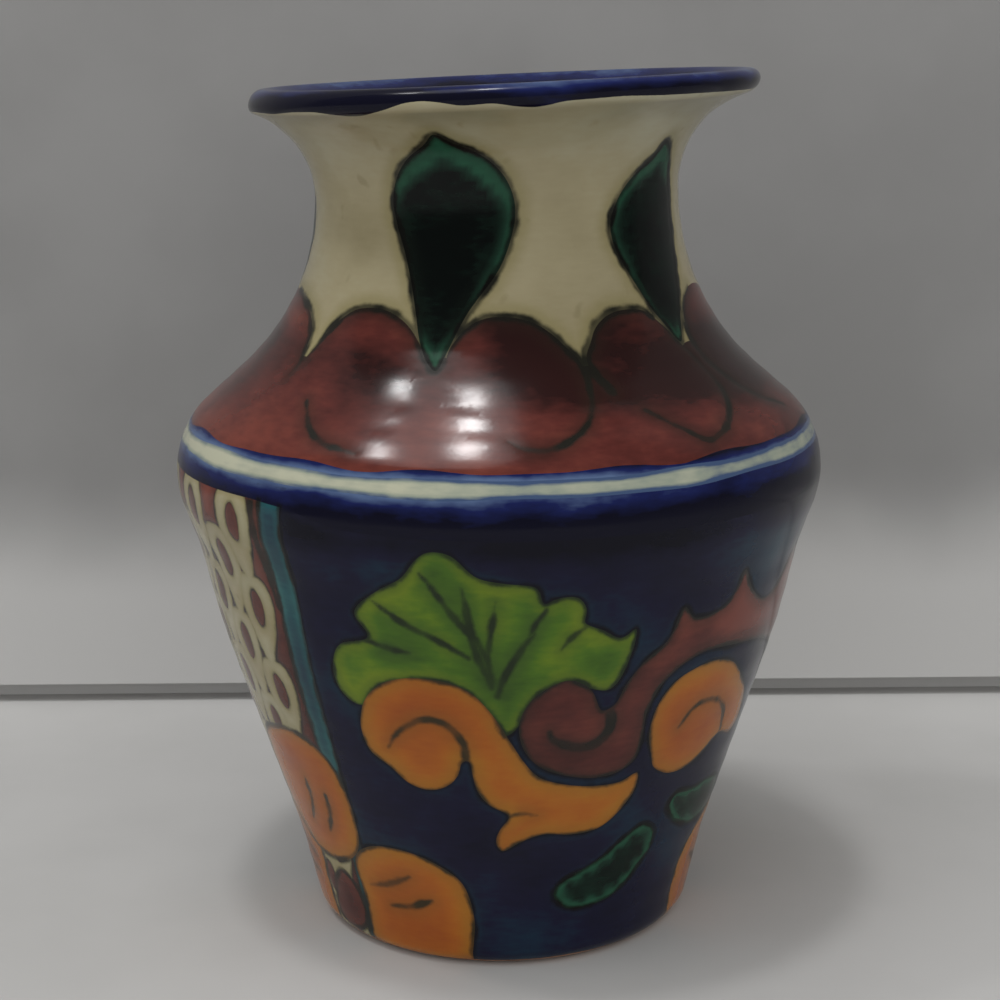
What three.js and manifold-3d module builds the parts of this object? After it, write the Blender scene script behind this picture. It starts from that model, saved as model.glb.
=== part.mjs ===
// A hand-painted flower vase of tin-glazed earthenware.
// One clay pot carries its coats of glaze: a lining inside, and outside a mosaic of coloured
// fields, each laid up to a painted outline that parts it from its neighbours.
// Millimetres, +Z up. The origin is the middle of the foot, on the table. The front faces -Y.

import * as THREE from 'three';
import { mergeVertices } from 'three/addons/utils/BufferGeometryUtils.js';
import Module from 'manifold-3d';

const wasm = await Module();
wasm.setup();

// The thrown pot, measured over the glaze
const HEIGHT = 150;
const WALL = 4.6;
const FLOOR = 8;
const FLOOR_ROUND = 9;
const FOOT_RADIUS = 34;
const FOOT_ROUND = 4;
const FOOT_RING_WIDTH = 7;
const FOOT_RECESS = 1.6;
const HEEL_RADIUS = 37.8;
const HEEL_HEIGHT = 16;
const BODY_RADIUS = 50.8;
const BODY_HEIGHT = 56;
const CREASE_RADIUS = 53.9;
const CREASE_DROP = 17.7;
const BELT_RADIUS = 60.1;
const SHOULDER_HEIGHT = 24.9;
const BELT_ROUND = 16;
const NECK_HEIGHT = 112.6;
const THROAT_RADIUS = 31.8;
const THROAT_DROP = 19.2;
const MOUTH_RADIUS = 44.1;
const FLARE_ANGLE = THREE.MathUtils.degToRad(20);

// The mouth sat down a little in the kiln: it leans over its upper part, and the lip lies off the middle
const MOUTH_TILT = THREE.MathUtils.degToRad(2);
const MOUTH_SHIFT = 1.8;
const LEAN_SPAN = 50;
const SHIFT_SPAN = 8;

// The coats of glaze, and the outlines that part them
const GLAZE = 0.4;
const GLAZE_SEAT = 0.1;
const FOOT_BARE = 1.5;
const OUTLINE = 1.2;
const SOFT_EDGE = 0.3;

// Bands: the rim, the collar of the shoulder, the cream line and the blue belt
const RIM_DROP = 3.4;
const COLLAR_SHARE = 0.53;
const LINE_RISE = 0.3;
const LINE_WIDTH = 3;
const BELT_WIDTH = 6.5;

// Leaves on the neck, petals on the shoulder, stripes and scale panels on the wall
const LEAF_PLACES = [-14, 52, 128, 200, 262];
const LEAF_DROP = 8.4;
const LEAF_CLEAR = 0.4;
const LEAF_WIDTH = 21;
const PETAL_TOP_RISE = 0.9;
const PETAL_FOOT_RISE = 3.6;
const PETAL_WIDTH = 24;
const STRIPE_PLACES = [-40, 90, 140, -98];
const STRIPE_TURN = 5;
const STRIPE_LOW = 3;
const STRIPE_TUCK = 4;
const SCALE_PANELS = [[-98, -40], [90, 140]];
const FLOWER_PLACES = [-50, 99];
const PANEL_PLACES = { front: 0, back: 178 };
const FIGURES_TOP = 81.5;
const FULL_TURN = 360;

// How finely the round shapes are faceted: steps round the pot, and how far a facet may cut an arc
const SEGMENTS = 28;
const OUTSIDE_ERROR = 0.4;
const LIP_ERROR = 0.6;
const INSIDE_ERROR = 1.5;
const NOTCH_STEP = 2.4;

// Reaches of the cutters: the ends, and how near the wall their middle part begins and ends
const CUTTER_INSIDE = 4;
const CUTTER_OUTSIDE = 160;
const CUTTER_MARGIN = 2;

// Profile of the pot: corners that are rounded afterwards, from the foot to the lip
const beltHeight = NECK_HEIGHT - SHOULDER_HEIGHT;
const creaseHeight = beltHeight - CREASE_DROP;
const lipRound = WALL / 2;
const lipRadius = MOUTH_RADIUS - lipRound;
const lipHeight = HEIGHT - lipRound;
const flareRise = (lipRadius - THROAT_RADIUS) * Math.tan(FLARE_ANGLE);
const flareHeight = lipHeight - lipRound / Math.cos(FLARE_ANGLE) - flareRise;

// The arcs of the neck and of the flare meet at the throat
const throatHeight = HEIGHT - THROAT_DROP;
const shoulderTurn = Math.atan2(BELT_RADIUS - THROAT_RADIUS, SHOULDER_HEIGHT);
const flareTurn = Math.PI / 2 - FLARE_ANGLE;
const neckRound = (throatHeight - NECK_HEIGHT) / Math.tan(shoulderTurn / 2);
const flareRound = (flareHeight - throatHeight) / Math.tan(flareTurn / 2);

// The shoulder is as round at the belt as the arc of the neck leaves room for
const bellyTurn = Math.atan2(CREASE_DROP, BELT_RADIUS - CREASE_RADIUS);
const beltTurn = Math.atan2(SHOULDER_HEIGHT, THROAT_RADIUS - BELT_RADIUS) - bellyTurn;
const shoulderRoom = Math.hypot(BELT_RADIUS - THROAT_RADIUS, SHOULDER_HEIGHT) - (throatHeight - NECK_HEIGHT);
const beltRound = Math.min(BELT_ROUND, shoulderRoom / Math.tan(beltTurn / 2));

function corner(radius, height, round = 0, error = OUTSIDE_ERROR) {
  const span = round > 0 ? 2 * Math.acos(1 - error / round) : 0;
  return { radius, height, round, span };
}

function lipCorner(side) {
  const along = Math.cos(FLARE_ANGLE) - side * Math.sin(FLARE_ANGLE);
  const up = Math.sin(FLARE_ANGLE) + side * Math.cos(FLARE_ANGLE);
  return corner(lipRadius + lipRound * along, lipHeight + lipRound * up, lipRound, LIP_ERROR);
}

const outsideCorners = [
  corner(FOOT_RADIUS - FOOT_RING_WIDTH, 0),
  corner(FOOT_RADIUS, 0, FOOT_ROUND),
  corner(HEEL_RADIUS, HEEL_HEIGHT),
  corner(BODY_RADIUS, BODY_HEIGHT),
  corner(CREASE_RADIUS, creaseHeight),
  corner(BELT_RADIUS, beltHeight, beltRound),
  corner(THROAT_RADIUS, NECK_HEIGHT, neckRound),
  corner(THROAT_RADIUS, flareHeight, flareRound),
  lipCorner(-1),
];

// Moves each line of a profile to its left by its own distance, which is into the clay
function offset(corners, distances) {
  const lines = corners.slice(1).map((end, i) => {
    const start = corners[i];
    const length = Math.hypot(end.radius - start.radius, end.height - start.height);
    const along = [(end.radius - start.radius) / length, (end.height - start.height) / length];
    return { along, normal: [along[1], -along[0]], distance: distances[i] };
  });
  return corners.map((point, i) => {
    const before = lines[Math.max(i - 1, 0)];
    const after = lines[Math.min(i, lines.length - 1)];
    const turn = before.along[0] * after.along[1] - before.along[1] * after.along[0];
    const slide = Math.abs(turn) < 1e-6 ? after.normal.map((side) => -side * after.distance) : [
      (before.distance * after.along[0] - after.distance * before.along[0]) / turn,
      (before.distance * after.along[1] - after.distance * before.along[1]) / turn,
    ];
    const round = point.round > 0 ? point.round - Math.sign(turn) * after.distance : 0;
    return { ...point, radius: point.radius + slide[0], height: point.height + slide[1], round };
  });
}

// Replaces each rounded corner by an arc that touches both its lines
function rounded(corners) {
  const points = [];
  corners.forEach((point, i) => {
    const here = new THREE.Vector2(point.radius, point.height);
    if (point.round <= 0 || i === 0 || i === corners.length - 1) {
      points.push(here);
      return;
    }
    const back = new THREE.Vector2(corners[i - 1].radius, corners[i - 1].height).sub(here).normalize();
    const on = new THREE.Vector2(corners[i + 1].radius, corners[i + 1].height).sub(here).normalize();
    const turn = Math.PI - Math.acos(back.dot(on));
    const reach = point.round * Math.tan(turn / 2);
    const middle = back.clone().add(on).normalize().multiplyScalar(point.round / Math.cos(turn / 2)).add(here);
    const from = here.clone().addScaledVector(back, reach).sub(middle);
    const way = Math.sign(-back.x * on.y + back.y * on.x);
    const steps = Math.ceil(turn / point.span);
    for (let k = 0; k <= steps; k += 1) {
      points.push(from.clone().rotateAround(new THREE.Vector2(), way * turn * k / steps).add(middle));
    }
  });
  return points.filter((point, i) => i === 0 || point.distanceTo(points[i - 1]) > 1e-3);
}

// The inside runs parallel to the outside, down to a rounded floor
const innerWall = offset(outsideCorners, outsideCorners.slice(1).map(() => WALL));
const [, , innerHeel, innerBody, , ...innerUpper] = innerWall;
const innerCrossing = (FLOOR - innerHeel.height) / (innerBody.height - innerHeel.height);
const floorRadius = innerHeel.radius + innerCrossing * (innerBody.radius - innerHeel.radius);
const surfaceCorners = [
  ...outsideCorners,
  lipCorner(1),
  ...innerUpper.slice(0, -1).reverse().map(({ radius, height, round }) => {
    return corner(radius, height, round, INSIDE_ERROR);
  }),
  innerBody,
  corner(floorRadius, FLOOR, FLOOR_ROUND, INSIDE_ERROR),
  corner(0, FLOOR),
];

// Every line but the bare underside of the foot lies under a coat of the given depth
function under(depth) {
  return rounded(offset(surfaceCorners, surfaceCorners.slice(1).map((_, i) => (i === 0 ? 0 : depth))));
}

const surface = under(0);
const clayFace = under(GLAZE + GLAZE_SEAT);
const glazeBack = under(GLAZE);
const lipTop = surface.reduce((best, point, i) => (point.y > surface[best].y ? i : best), 0);

// Radius over the glaze at a height on the outside of the pot
function wallRadius(height) {
  const level = THREE.MathUtils.clamp(height, surface[1].y, surface[lipTop].y);
  const above = surface.findIndex((point, i) => i > 1 && point.y >= level);
  const [low, high] = [surface[above - 1], surface[above]];
  return low.x + (high.x - low.x) * (level - low.y) / (high.y - low.y);
}

// Solids of revolution, and the way from geometry to solid and back
function revolve(profile) {
  const closed = [...profile, profile[0]];
  const turned = THREE.ShapeUtils.area(profile) > 0 ? closed : closed.reverse();
  const geometry = new THREE.LatheGeometry(turned, SEGMENTS).rotateX(Math.PI / 2);
  geometry.deleteAttribute('normal');
  geometry.deleteAttribute('uv');
  const merged = mergeVertices(geometry, 1e-4);
  const index = merged.getIndex().array;
  const kept = [];
  for (let i = 0; i < index.length; i += 3) {
    const [a, b, c] = [index[i], index[i + 1], index[i + 2]];
    if (a !== b && b !== c && c !== a) {
      kept.push(a, b, c);
    }
  }
  merged.setIndex(kept);
  return merged;
}

function toSolid(geometry) {
  return new wasm.Manifold(new wasm.Mesh({
    numProp: 3,
    vertProperties: new Float32Array(geometry.getAttribute('position').array),
    triVerts: new Uint32Array(geometry.getIndex().array),
  }));
}

function toGeometry(solid) {
  const { vertProperties, triVerts } = solid.getMesh();
  const geometry = new THREE.BufferGeometry();
  geometry.setAttribute('position', new THREE.BufferAttribute(new Float32Array(vertProperties), 3));
  geometry.setIndex(new THREE.BufferAttribute(new Uint32Array(triVerts), 1));
  return geometry;
}

// A coat is the layer between the glaze's face and its back, over part of the profile
function coat(from, to) {
  return toSolid(revolve([...surface.slice(from, to + 1), ...glazeBack.slice(from, to + 1).reverse()]));
}

const outerCoat = coat(1, lipTop);
const wholeCoat = coat(1, surface.length - 1);
const liningCoat = coat(lipTop, surface.length - 1);

// Cutters are radial: an outline on the wall is drawn in to the axis and out past the pot
function wallPoint(turn, height, reach) {
  return [reach * Math.sin(turn), -reach * Math.cos(turn), height];
}

function solidOf(vertices, triangles) {
  const geometry = new THREE.BufferGeometry();
  geometry.setAttribute('position', new THREE.Float32BufferAttribute(vertices.flat(), 3));
  geometry.setIndex(triangles.flat());
  return toSolid(geometry);
}

// A closed line through hand-set points, each [distance round the wall, height]
function closedLine(points) {
  const curve = new THREE.CatmullRomCurve3(points.map(([x, y]) => new THREE.Vector3(x, y, 0)), true, 'centripetal');
  return curve.getPoints(points.length).slice(0, -1).map(({ x, y }) => new THREE.Vector2(x, y));
}

// The same line moved outwards, without the points that fall back towards it in a notch
function grown(outline, distance) {
  const line = THREE.ShapeUtils.isClockWise(outline) ? [...outline].reverse() : outline;
  if (distance === 0) {
    return line;
  }
  const count = line.length;
  const moved = line.map((point, i) => {
    const along = line[(i + 1) % count].clone().sub(line[(i + count - 1) % count]).normalize();
    return new THREE.Vector2(point.x + along.y * distance, point.y - along.x * distance);
  });
  const clear = moved.filter((point) => line.every((start, i) => {
    const edge = line[(i + 1) % count].clone().sub(start);
    const share = THREE.MathUtils.clamp(point.clone().sub(start).dot(edge) / edge.lengthSq(), 0, 1);
    return start.clone().addScaledVector(edge, share).distanceTo(point) > distance * 0.96;
  }));
  return clear.filter((point, i) => i === 0 || point.distanceTo(clear[i - 1]) > NOTCH_STEP);
}

// Rings of points at four reaches, joined by walls; the middle wall lies close to the pot,
// so that a sloping edge is cut straight
function walls(edge) {
  const count = edge.length;
  const reaches = [
    () => CUTTER_INSIDE,
    (height) => wallRadius(height) - CUTTER_MARGIN,
    (height) => wallRadius(height) + CUTTER_MARGIN,
    () => CUTTER_OUTSIDE,
  ];
  const vertices = reaches.flatMap((reach) => edge.map(([turn, height]) => wallPoint(turn, height, reach(height))));
  const triangles = [];
  for (let level = 0; level < reaches.length - 1; level += 1) {
    for (let i = 0; i < count; i += 1) {
      const here = level * count + i;
      const next = level * count + (i + 1) % count;
      triangles.push([here, next, next + count], [here, next + count, here + count]);
    }
  }
  return { vertices, triangles, outer: (reaches.length - 1) * count };
}

function motifCutter(at, outline) {
  const middle = THREE.MathUtils.degToRad(at);
  const { vertices, triangles, outer } = walls(outline.map(({ x, y }) => [middle + x / wallRadius(y), y]));
  THREE.ShapeUtils.triangulateShape(outline, []).forEach(([a, b, c]) => {
    triangles.push([a + outer, b + outer, c + outer], [c, b, a]);
  });
  return solidOf(vertices, triangles);
}

function ringCutter(low, high) {
  const turns = Array.from({ length: SEGMENTS }, (_, k) => 2 * Math.PI * k / SEGMENTS);
  const lower = walls(turns.map((turn) => [turn, low]));
  const upper = walls(turns.map((turn) => [turn, high]));
  const shift = lower.vertices.length;
  const triangles = [
    ...lower.triangles,
    ...upper.triangles.map(([a, b, c]) => [c + shift, b + shift, a + shift]),
  ];
  turns.forEach((_, k) => {
    const next = (k + 1) % SEGMENTS;
    triangles.push([k, k + shift, next + shift], [k, next + shift, next]);
    const [a, b] = [k + lower.outer, next + lower.outer];
    triangles.push([a, b, b + shift], [a, b + shift, a + shift]);
  });
  return solidOf([...lower.vertices, ...upper.vertices], triangles);
}

// Finishes of the pot
function finish(colour, roughness) {
  return new THREE.MeshStandardMaterial({ color: colour, roughness, metalness: 0 });
}

const bareClay = finish(0xb98a63, 0.9);
const cream = finish(0xcfc6a2, 0.25);
const cobalt = finish(0x23307f, 0.2);
const navy = finish(0x1b1d3c, 0.22);
const maroon = finish(0x6d2f28, 0.25);
const brick = finish(0x7d3a2c, 0.3);
const orange = finish(0xc9792a, 0.25);
const leafGreen = finish(0x6f9a35, 0.25);
const deepGreen = finish(0x1f4a38, 0.22);
const turquoise = finish(0x2f7f88, 0.25);

// The painter's order: a field laid later stops at the outline of every field before it
const vase = new THREE.Group();
let painted = ringCutter(-HEIGHT, FOOT_BARE);

// The lean grows smoothly from the shoulder to the lip, and the shift over the lip alone
function lean(geometry) {
  const position = geometry.getAttribute('position');
  for (let i = 0; i < position.count; i += 1) {
    const x = position.getX(i);
    const z = position.getZ(i);
    const leant = THREE.MathUtils.smoothstep(z, HEIGHT - LEAN_SPAN, HEIGHT);
    const shifted = THREE.MathUtils.smoothstep(z, HEIGHT - SHIFT_SPAN, HEIGHT);
    position.setX(i, x + MOUTH_SHIFT * shifted);
    position.setZ(i, z + x * Math.tan(MOUTH_TILT) * leant);
  }
  return geometry;
}

function place(name, geometry, material) {
  const mesh = new THREE.Mesh(lean(geometry), material);
  mesh.name = name;
  mesh.geometry.computeVertexNormals();
  vase.add(mesh);
}

function byVolume(solid) {
  return solid.decompose().sort((a, b) => b.volume() - a.volume());
}

function lay(name, material, cutter, edge, shell = outerCoat) {
  const whole = shell.intersect(cutter(0));
  place(name, toGeometry(byVolume(whole.subtract(painted))[0]), material);
  painted = painted.add(cutter(edge));
}

function layMotif(name, material, at, points) {
  lay(name, material, (more) => motifCutter(at, grown(closedLine(points), more)), OUTLINE);
}

// The same for points that are each [degrees from the middle, height under a belt at FIGURES_TOP]
function layFigure(name, material, at, points) {
  layMotif(name, material, at, points.map(([turn, drawn]) => {
    const height = drawn * beltLow / FIGURES_TOP;
    return [THREE.MathUtils.degToRad(turn) * wallRadius(height), height];
  }));
}

function layRing(name, material, low, high, edge = SOFT_EDGE, shell = outerCoat) {
  lay(name, material, (more) => ringCutter(low - more, high + more), edge, shell);
}

// Clay pot, with a foot ring round a shallow recess
const recessRadius = FOOT_RADIUS - FOOT_RING_WIDTH - FOOT_RECESS;
place('clay_body', revolve([
  new THREE.Vector2(0, FOOT_RECESS),
  new THREE.Vector2(recessRadius, FOOT_RECESS),
  ...clayFace,
]), bareClay);

// Rim: cobalt brushed over the lip
const rimLow = HEIGHT - RIM_DROP;
layRing('rim_band', cobalt, rimLow, HEIGHT + WALL, SOFT_EDGE, wholeCoat);
place('lining_glaze', toGeometry(byVolume(liningCoat.subtract(painted))[0]), cream);

// Heights of the bands that the figures of the neck and shoulder stand between
const lineLow = beltHeight + LINE_RISE;
const beltLow = lineLow - BELT_WIDTH;
const lineTop = lineLow + LINE_WIDTH;
const petalTop = NECK_HEIGHT + PETAL_TOP_RISE;
const petalLow = lineTop + PETAL_FOOT_RISE;
const collarTop = petalLow + COLLAR_SHARE * (petalTop - petalLow);
const leafTop = HEIGHT - LEAF_DROP;
const leafLow = collarTop + LEAF_CLEAR;

// A figure between two heights, from points given as [share of the width, share of the length down]
function sized(points, top, low, width) {
  return points.map(([across, down]) => [across * width, top - down * (top - low)]);
}

// The same figure turned left for right
function flipped(points) {
  return points.map(([across, down]) => [-across, down]).reverse();
}

// Neck: teardrop leaves hang from the flare over every second cleft between the petals,
// and each is turned the other way from the one before it
const LEAF_LINE = [
  [-0.04, 0], [-0.29, 0.126], [-0.476, 0.276], [-0.443, 0.385], [-0.314, 0.577], [-0.219, 0.762], [-0.124, 0.904],
  [0.01, 1], [0.1, 0.866], [0.295, 0.667], [0.481, 0.464], [0.524, 0.331], [0.452, 0.186], [0.271, 0.071],
  [0.095, 0.025],
];
LEAF_PLACES.forEach((at, i) => {
  const line = i % 2 === 0 ? LEAF_LINE : flipped(LEAF_LINE);
  layMotif(`neck_leaf_${i + 1}`, deepGreen, at, sized(line, leafTop, leafLow, LEAF_WIDTH));
});

// Shoulder: maroon petals like tongues, two between each pair of leaves, as wide as they have room
const petalHalf = [[0, 0], [-0.32, 0.08], [-0.49, 0.34], [-0.49, 0.68], [-0.3, 0.93], [0, 1]];
const petalLine = [...petalHalf, ...flipped(petalHalf).slice(1, -1)];
LEAF_PLACES.forEach((at, i) => {
  const room = (LEAF_PLACES[(i + 1) % LEAF_PLACES.length] - at + FULL_TURN) % FULL_TURN;
  const width = PETAL_WIDTH * room * LEAF_PLACES.length / FULL_TURN;
  const outline = sized(petalLine, petalTop, petalLow, width);
  [0.25, 0.75].forEach((share, k) => {
    layMotif(`shoulder_petal_${2 * i + k + 1}`, maroon, at + share * room, outline);
  });
});

// Flowers low on the wall: three broad petals round a centre, cut off by the foot
const FLOWER_PARTS = [
  ['centre', maroon, [[-6.4, 8], [0, 14], [6.3, 11], [6.6, 4], [0, 2], [-6.6, 3]]],
  ['petal_top', orange, [
    [-21.1, 25], [-19.3, 37], [-7.5, 41], [3.7, 41], [10.3, 36.5], [12.5, 27], [10.3, 20], [3, 16.5], [-12, 17],
  ]],
  ['petal_right', orange, [
    [8.2, 18], [15.9, 22], [28.8, 22], [38.7, 18], [42, 12], [42.1, 6], [35.4, -2], [10.1, -2], [8.7, 10],
  ]],
  ['petal_left', orange, [
    [-9.5, 10], [-10.1, -2], [-33.7, -2], [-41.5, 8], [-39.7, 15], [-29.1, 21], [-15.9, 22], [-9, 17],
  ]],
];
FLOWER_PLACES.forEach((at, i) => FLOWER_PARTS.forEach(([part, material, points]) => {
  layFigure(`flower_${i + 1}_${part}`, material, at, points);
}));

// Upright panels run between two angles, from one height to another
function layUpright(name, material, from, to, low, high) {
  const steps = Math.max(1, Math.round((to - from) * SEGMENTS / FULL_TURN));
  const shares = Array.from({ length: steps + 1 }, (_, k) => k / steps);
  lay(name, material, (more) => {
    const point = (share, height) => {
      const turn = THREE.MathUtils.degToRad(from + (to - from) * share);
      const side = more * (share === 1) - more * (share === 0);
      return new THREE.Vector2(turn * wallRadius(height) + side, height);
    };
    const lower = shares.map((share) => point(share, low - more));
    const upper = shares.map((share) => point(share, high + more)).reverse();
    return motifCutter(0, [...lower, ...upper]);
  }, OUTLINE);
}

// Turquoise stripes stand between the scroll panels and the cream scale panels
const uprightTop = beltLow + STRIPE_TUCK;
STRIPE_PLACES.forEach((at, i) => {
  const half = STRIPE_TURN / 2;
  layUpright(`turquoise_stripe_${i + 1}`, turquoise, at - half, at + half, STRIPE_LOW, uprightTop);
});

// Scroll panels: one round the front and its like round the back
const PANEL_PARTS = [
  ['fan_leaf', leafGreen, 0, [
    [1.2, 48.5], [-1.7, 52], [-5.6, 57.5], [-10, 59], [-17.3, 58.7], [-23.6, 57.2], [-28.2, 53], [-31.8, 55],
    [-31.7, 59], [-29.7, 62], [-23.4, 64], [-25.7, 68], [-20.4, 72.5], [-16, 75], [-13.1, 78.5], [-11, 79.8],
    [-7.5, 79.3], [-3.6, 75.5], [0.5, 74.5], [6.2, 73.5], [7.4, 70.5], [9.5, 71.5], [13.2, 71.5], [14.9, 69],
    [14.5, 67], [17.9, 65.5], [21.8, 63.5], [24.4, 65], [23.4, 58.5], [20.5, 54.8], [13.4, 58.7], [8.4, 58],
    [4, 55.5],
  ]],
  ['orange_scroll', orange, 0, [
    [-28.7, 47], [-26.6, 52], [-22.6, 55.5], [-17.4, 57.2], [-10.1, 57], [-5.7, 55.3], [-2.1, 51.8], [1.6, 46.4],
    [4.6, 42], [7.9, 38.8], [13.4, 37], [20.2, 36], [27.2, 36], [30.8, 37.2], [31, 33.5], [27.8, 29.8],
    [23.5, 27.2], [16.7, 26.6], [9.7, 27.2], [4.2, 25.8], [0, 24], [-1.4, 26], [0, 29], [1.9, 31.4], [-2.6, 34],
    [-5.8, 37.6], [-11, 37.6], [-15.5, 36.3], [-19.9, 37], [-23.9, 40], [-27.9, 42.4],
  ]],
  ['maroon_scroll', maroon, 25, [
    [4.7, 48.5], [4.9, 43.5], [4.1, 40], [0.6, 38], [-5.1, 37.6], [-11.8, 38.8], [-16.9, 40.7], [-20, 43.5],
    [-21.5, 47.5], [-21, 51], [-18.9, 54], [-15.8, 56], [-12.7, 57], [-9.6, 56], [-7.4, 54], [-5.4, 50.5],
    [-2.8, 51.5], [-1.1, 55], [1.8, 58.5], [6.6, 62], [9.1, 67.5], [11.7, 65], [19, 65.5], [22, 68], [23.2, 71.5],
    [27.4, 67], [33.2, 64], [39.1, 65], [42.9, 68], [48.6, 71], [53, 66], [57.4, 61], [57.9, 55], [52.1, 52],
    [43.4, 54], [36.1, 56], [24.7, 57.5], [15.7, 58], [9.7, 56], [6.4, 53],
  ]],
  ['small_scroll', orange, 45, [
    [-11.3, 39.5], [-13.4, 44], [-13.4, 48], [-11.9, 51.7], [-9.1, 54], [-3.4, 55.6], [1.1, 55.6], [6.9, 54],
    [12.9, 50], [20.8, 44], [22.8, 39], [19.2, 37.4], [11.4, 39.2], [6.4, 36.7], [1.3, 35.2], [-5.2, 35.2],
    [-10.2, 37.5],
  ]],
  ['long_leaf', deepGreen, 22, [
    [-8.5, 15], [-6, 17.5], [-1, 19], [4.3, 21.3], [8.9, 24], [14.4, 26], [18.4, 24], [19.3, 20.5], [16.5, 17],
    [12.3, 13.7], [7.8, 11.8], [1.6, 11], [-3.9, 11], [-7.7, 13],
  ]],
  ['short_leaf', deepGreen, 50, [
    [-6.8, 28.5], [-4.7, 30.3], [2.7, 29.5], [10.2, 29.5], [19.3, 27.5], [21.4, 23], [14.6, 20.8], [6.5, 21.2],
    [-2.1, 23.8],
  ]],
];
Object.entries(PANEL_PLACES).forEach(([side, turn]) => PANEL_PARTS.forEach(([part, material, at, points]) => {
  layFigure(`${part}_${side}`, material, turn + at, points);
}));

// Cream scale panels fill the wall between their stripes
SCALE_PANELS.forEach(([from, to], i) => {
  layUpright(`scale_panel_${i + 1}`, cream, from, to, STRIPE_LOW, uprightTop);
});

// Bands fill what the figures leave of the shoulder, the belt and the neck
layRing('shoulder_collar', brick, lineTop + OUTLINE, collarTop, OUTLINE);
layRing('cream_line', cream, lineLow, lineTop);
layRing('blue_belt', cobalt, beltLow, lineLow);
layRing('neck_ground', cream, collarTop, rimLow);

// The navy ground fills the rest of the two scroll panels
const rest = outerCoat.intersect(ringCutter(0, beltLow)).subtract(painted);
byVolume(rest).slice(0, Object.keys(PANEL_PLACES).length).forEach((ground) => {
  const { min, max } = ground.boundingBox();
  const side = min[1] + max[1] < 0 ? 'front' : 'back';
  place(`navy_ground_${side}`, toGeometry(ground), navy);
});

export default vase;
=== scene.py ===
# %% [markdown]
# A hand-painted flower vase of tin-glazed earthenware.
# The real vase was thrown on a wheel, fired, dipped in cream glaze, painted with coloured glazes and
# fired again. This lesson follows the same order: it opens the measured model, shapes the pot, lays
# the painting out on the unrolled wall, wraps each painted field round the pot as a thin coat of
# glaze, and then makes the glazes, the table and the light.

# %% Open the measured model
import math

import bpy
import numpy as np
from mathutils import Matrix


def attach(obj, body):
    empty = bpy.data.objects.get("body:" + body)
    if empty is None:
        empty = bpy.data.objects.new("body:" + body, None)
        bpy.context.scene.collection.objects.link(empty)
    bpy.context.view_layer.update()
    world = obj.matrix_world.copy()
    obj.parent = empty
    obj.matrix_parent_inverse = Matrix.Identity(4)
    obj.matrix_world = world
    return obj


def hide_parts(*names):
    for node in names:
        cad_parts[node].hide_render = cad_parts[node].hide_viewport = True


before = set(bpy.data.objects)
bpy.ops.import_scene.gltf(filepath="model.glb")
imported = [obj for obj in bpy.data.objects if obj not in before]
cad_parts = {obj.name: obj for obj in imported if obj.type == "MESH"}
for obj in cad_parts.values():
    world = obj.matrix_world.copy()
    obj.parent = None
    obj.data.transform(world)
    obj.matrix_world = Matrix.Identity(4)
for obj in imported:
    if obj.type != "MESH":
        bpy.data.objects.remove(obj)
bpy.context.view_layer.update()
MM = 0.001
print("nodes in the frame:", len(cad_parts))

# %% [markdown]
# A pot is known by its profile. The potter's own measures are enough: a foot, a body that opens in
# three straight runs, a rounded shoulder, a throat and a flared mouth. Each corner is written as
# radius, height and the radius of its rounding, in millimetres, so that changing one number
# changes the pot as a new cut of the template would.

# %% The potter's template
HEIGHT, WALL = 150.0, 4.6
FLOOR, FLOOR_ROUND = 8.0, 9.0
FOOT_RING, FOOT_RECESS = 27.0, 1.6
THROAT_RADIUS, THROAT_HEIGHT = 31.8, 130.8
NECK_HEIGHT = 112.6
BELT_RADIUS, BELT_HEIGHT = 60.1, 87.7
MOUTH_RADIUS, FLARE = 44.1, math.radians(20)
LIP = WALL / 2
lip_radius, lip_height = MOUTH_RADIUS - LIP, HEIGHT - LIP
flare_height = lip_height - LIP / math.cos(FLARE) - (lip_radius - THROAT_RADIUS) * math.tan(FLARE)
shoulder_turn = math.atan2(BELT_RADIUS - THROAT_RADIUS, NECK_HEIGHT - BELT_HEIGHT)
neck_round = (THROAT_HEIGHT - NECK_HEIGHT) / math.tan(shoulder_turn / 2)
flare_round = (flare_height - THROAT_HEIGHT) / math.tan((math.pi / 2 - FLARE) / 2)


def lip_corner(side):
    along = math.cos(FLARE) - side * math.sin(FLARE)
    up = math.sin(FLARE) + side * math.cos(FLARE)
    return (lip_radius + LIP * along, lip_height + LIP * up, LIP)


outside = [
    (FOOT_RING, 0, 0), (34, 0, 4), (37.8, 16, 60), (50.8, 56, 120), (53.9, 70, 30),
    (BELT_RADIUS, BELT_HEIGHT, 16), (THROAT_RADIUS, NECK_HEIGHT, neck_round),
    (THROAT_RADIUS, flare_height, flare_round), lip_corner(-1),
]
print("corners on the outside:", len(outside))

# %% [markdown]
# The inside of a thrown wall runs parallel to the outside. Moving each line of the profile into the
# clay by the same depth gives it, and the same helper gives the faces of the clay under its coats.
# Arcs are then put in the corners with a step of a few degrees, fine enough for clean reflections.

# %% Parallel profiles and rounded corners
ARC_STEP = math.radians(4)


def moved_in(corners, depths):
    points = np.array([corner[:2] for corner in corners], float)
    along = np.diff(points, axis=0)
    along /= np.linalg.norm(along, axis=1)[:, None]
    moved = []
    for i, (radius, height, bend) in enumerate(corners):
        before, after = max(i - 1, 0), min(i, len(along) - 1)
        turn = along[before][0] * along[after][1] - along[before][1] * along[after][0]
        if abs(turn) < 1e-6:
            slide = np.array([-along[after][1], along[after][0]]) * depths[after]
        else:
            slide = (depths[before] * along[after] - depths[after] * along[before]) / turn
        bend = bend - math.copysign(depths[after], turn) if bend else 0
        moved.append((radius + slide[0], height + slide[1], bend))
    return moved


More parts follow.
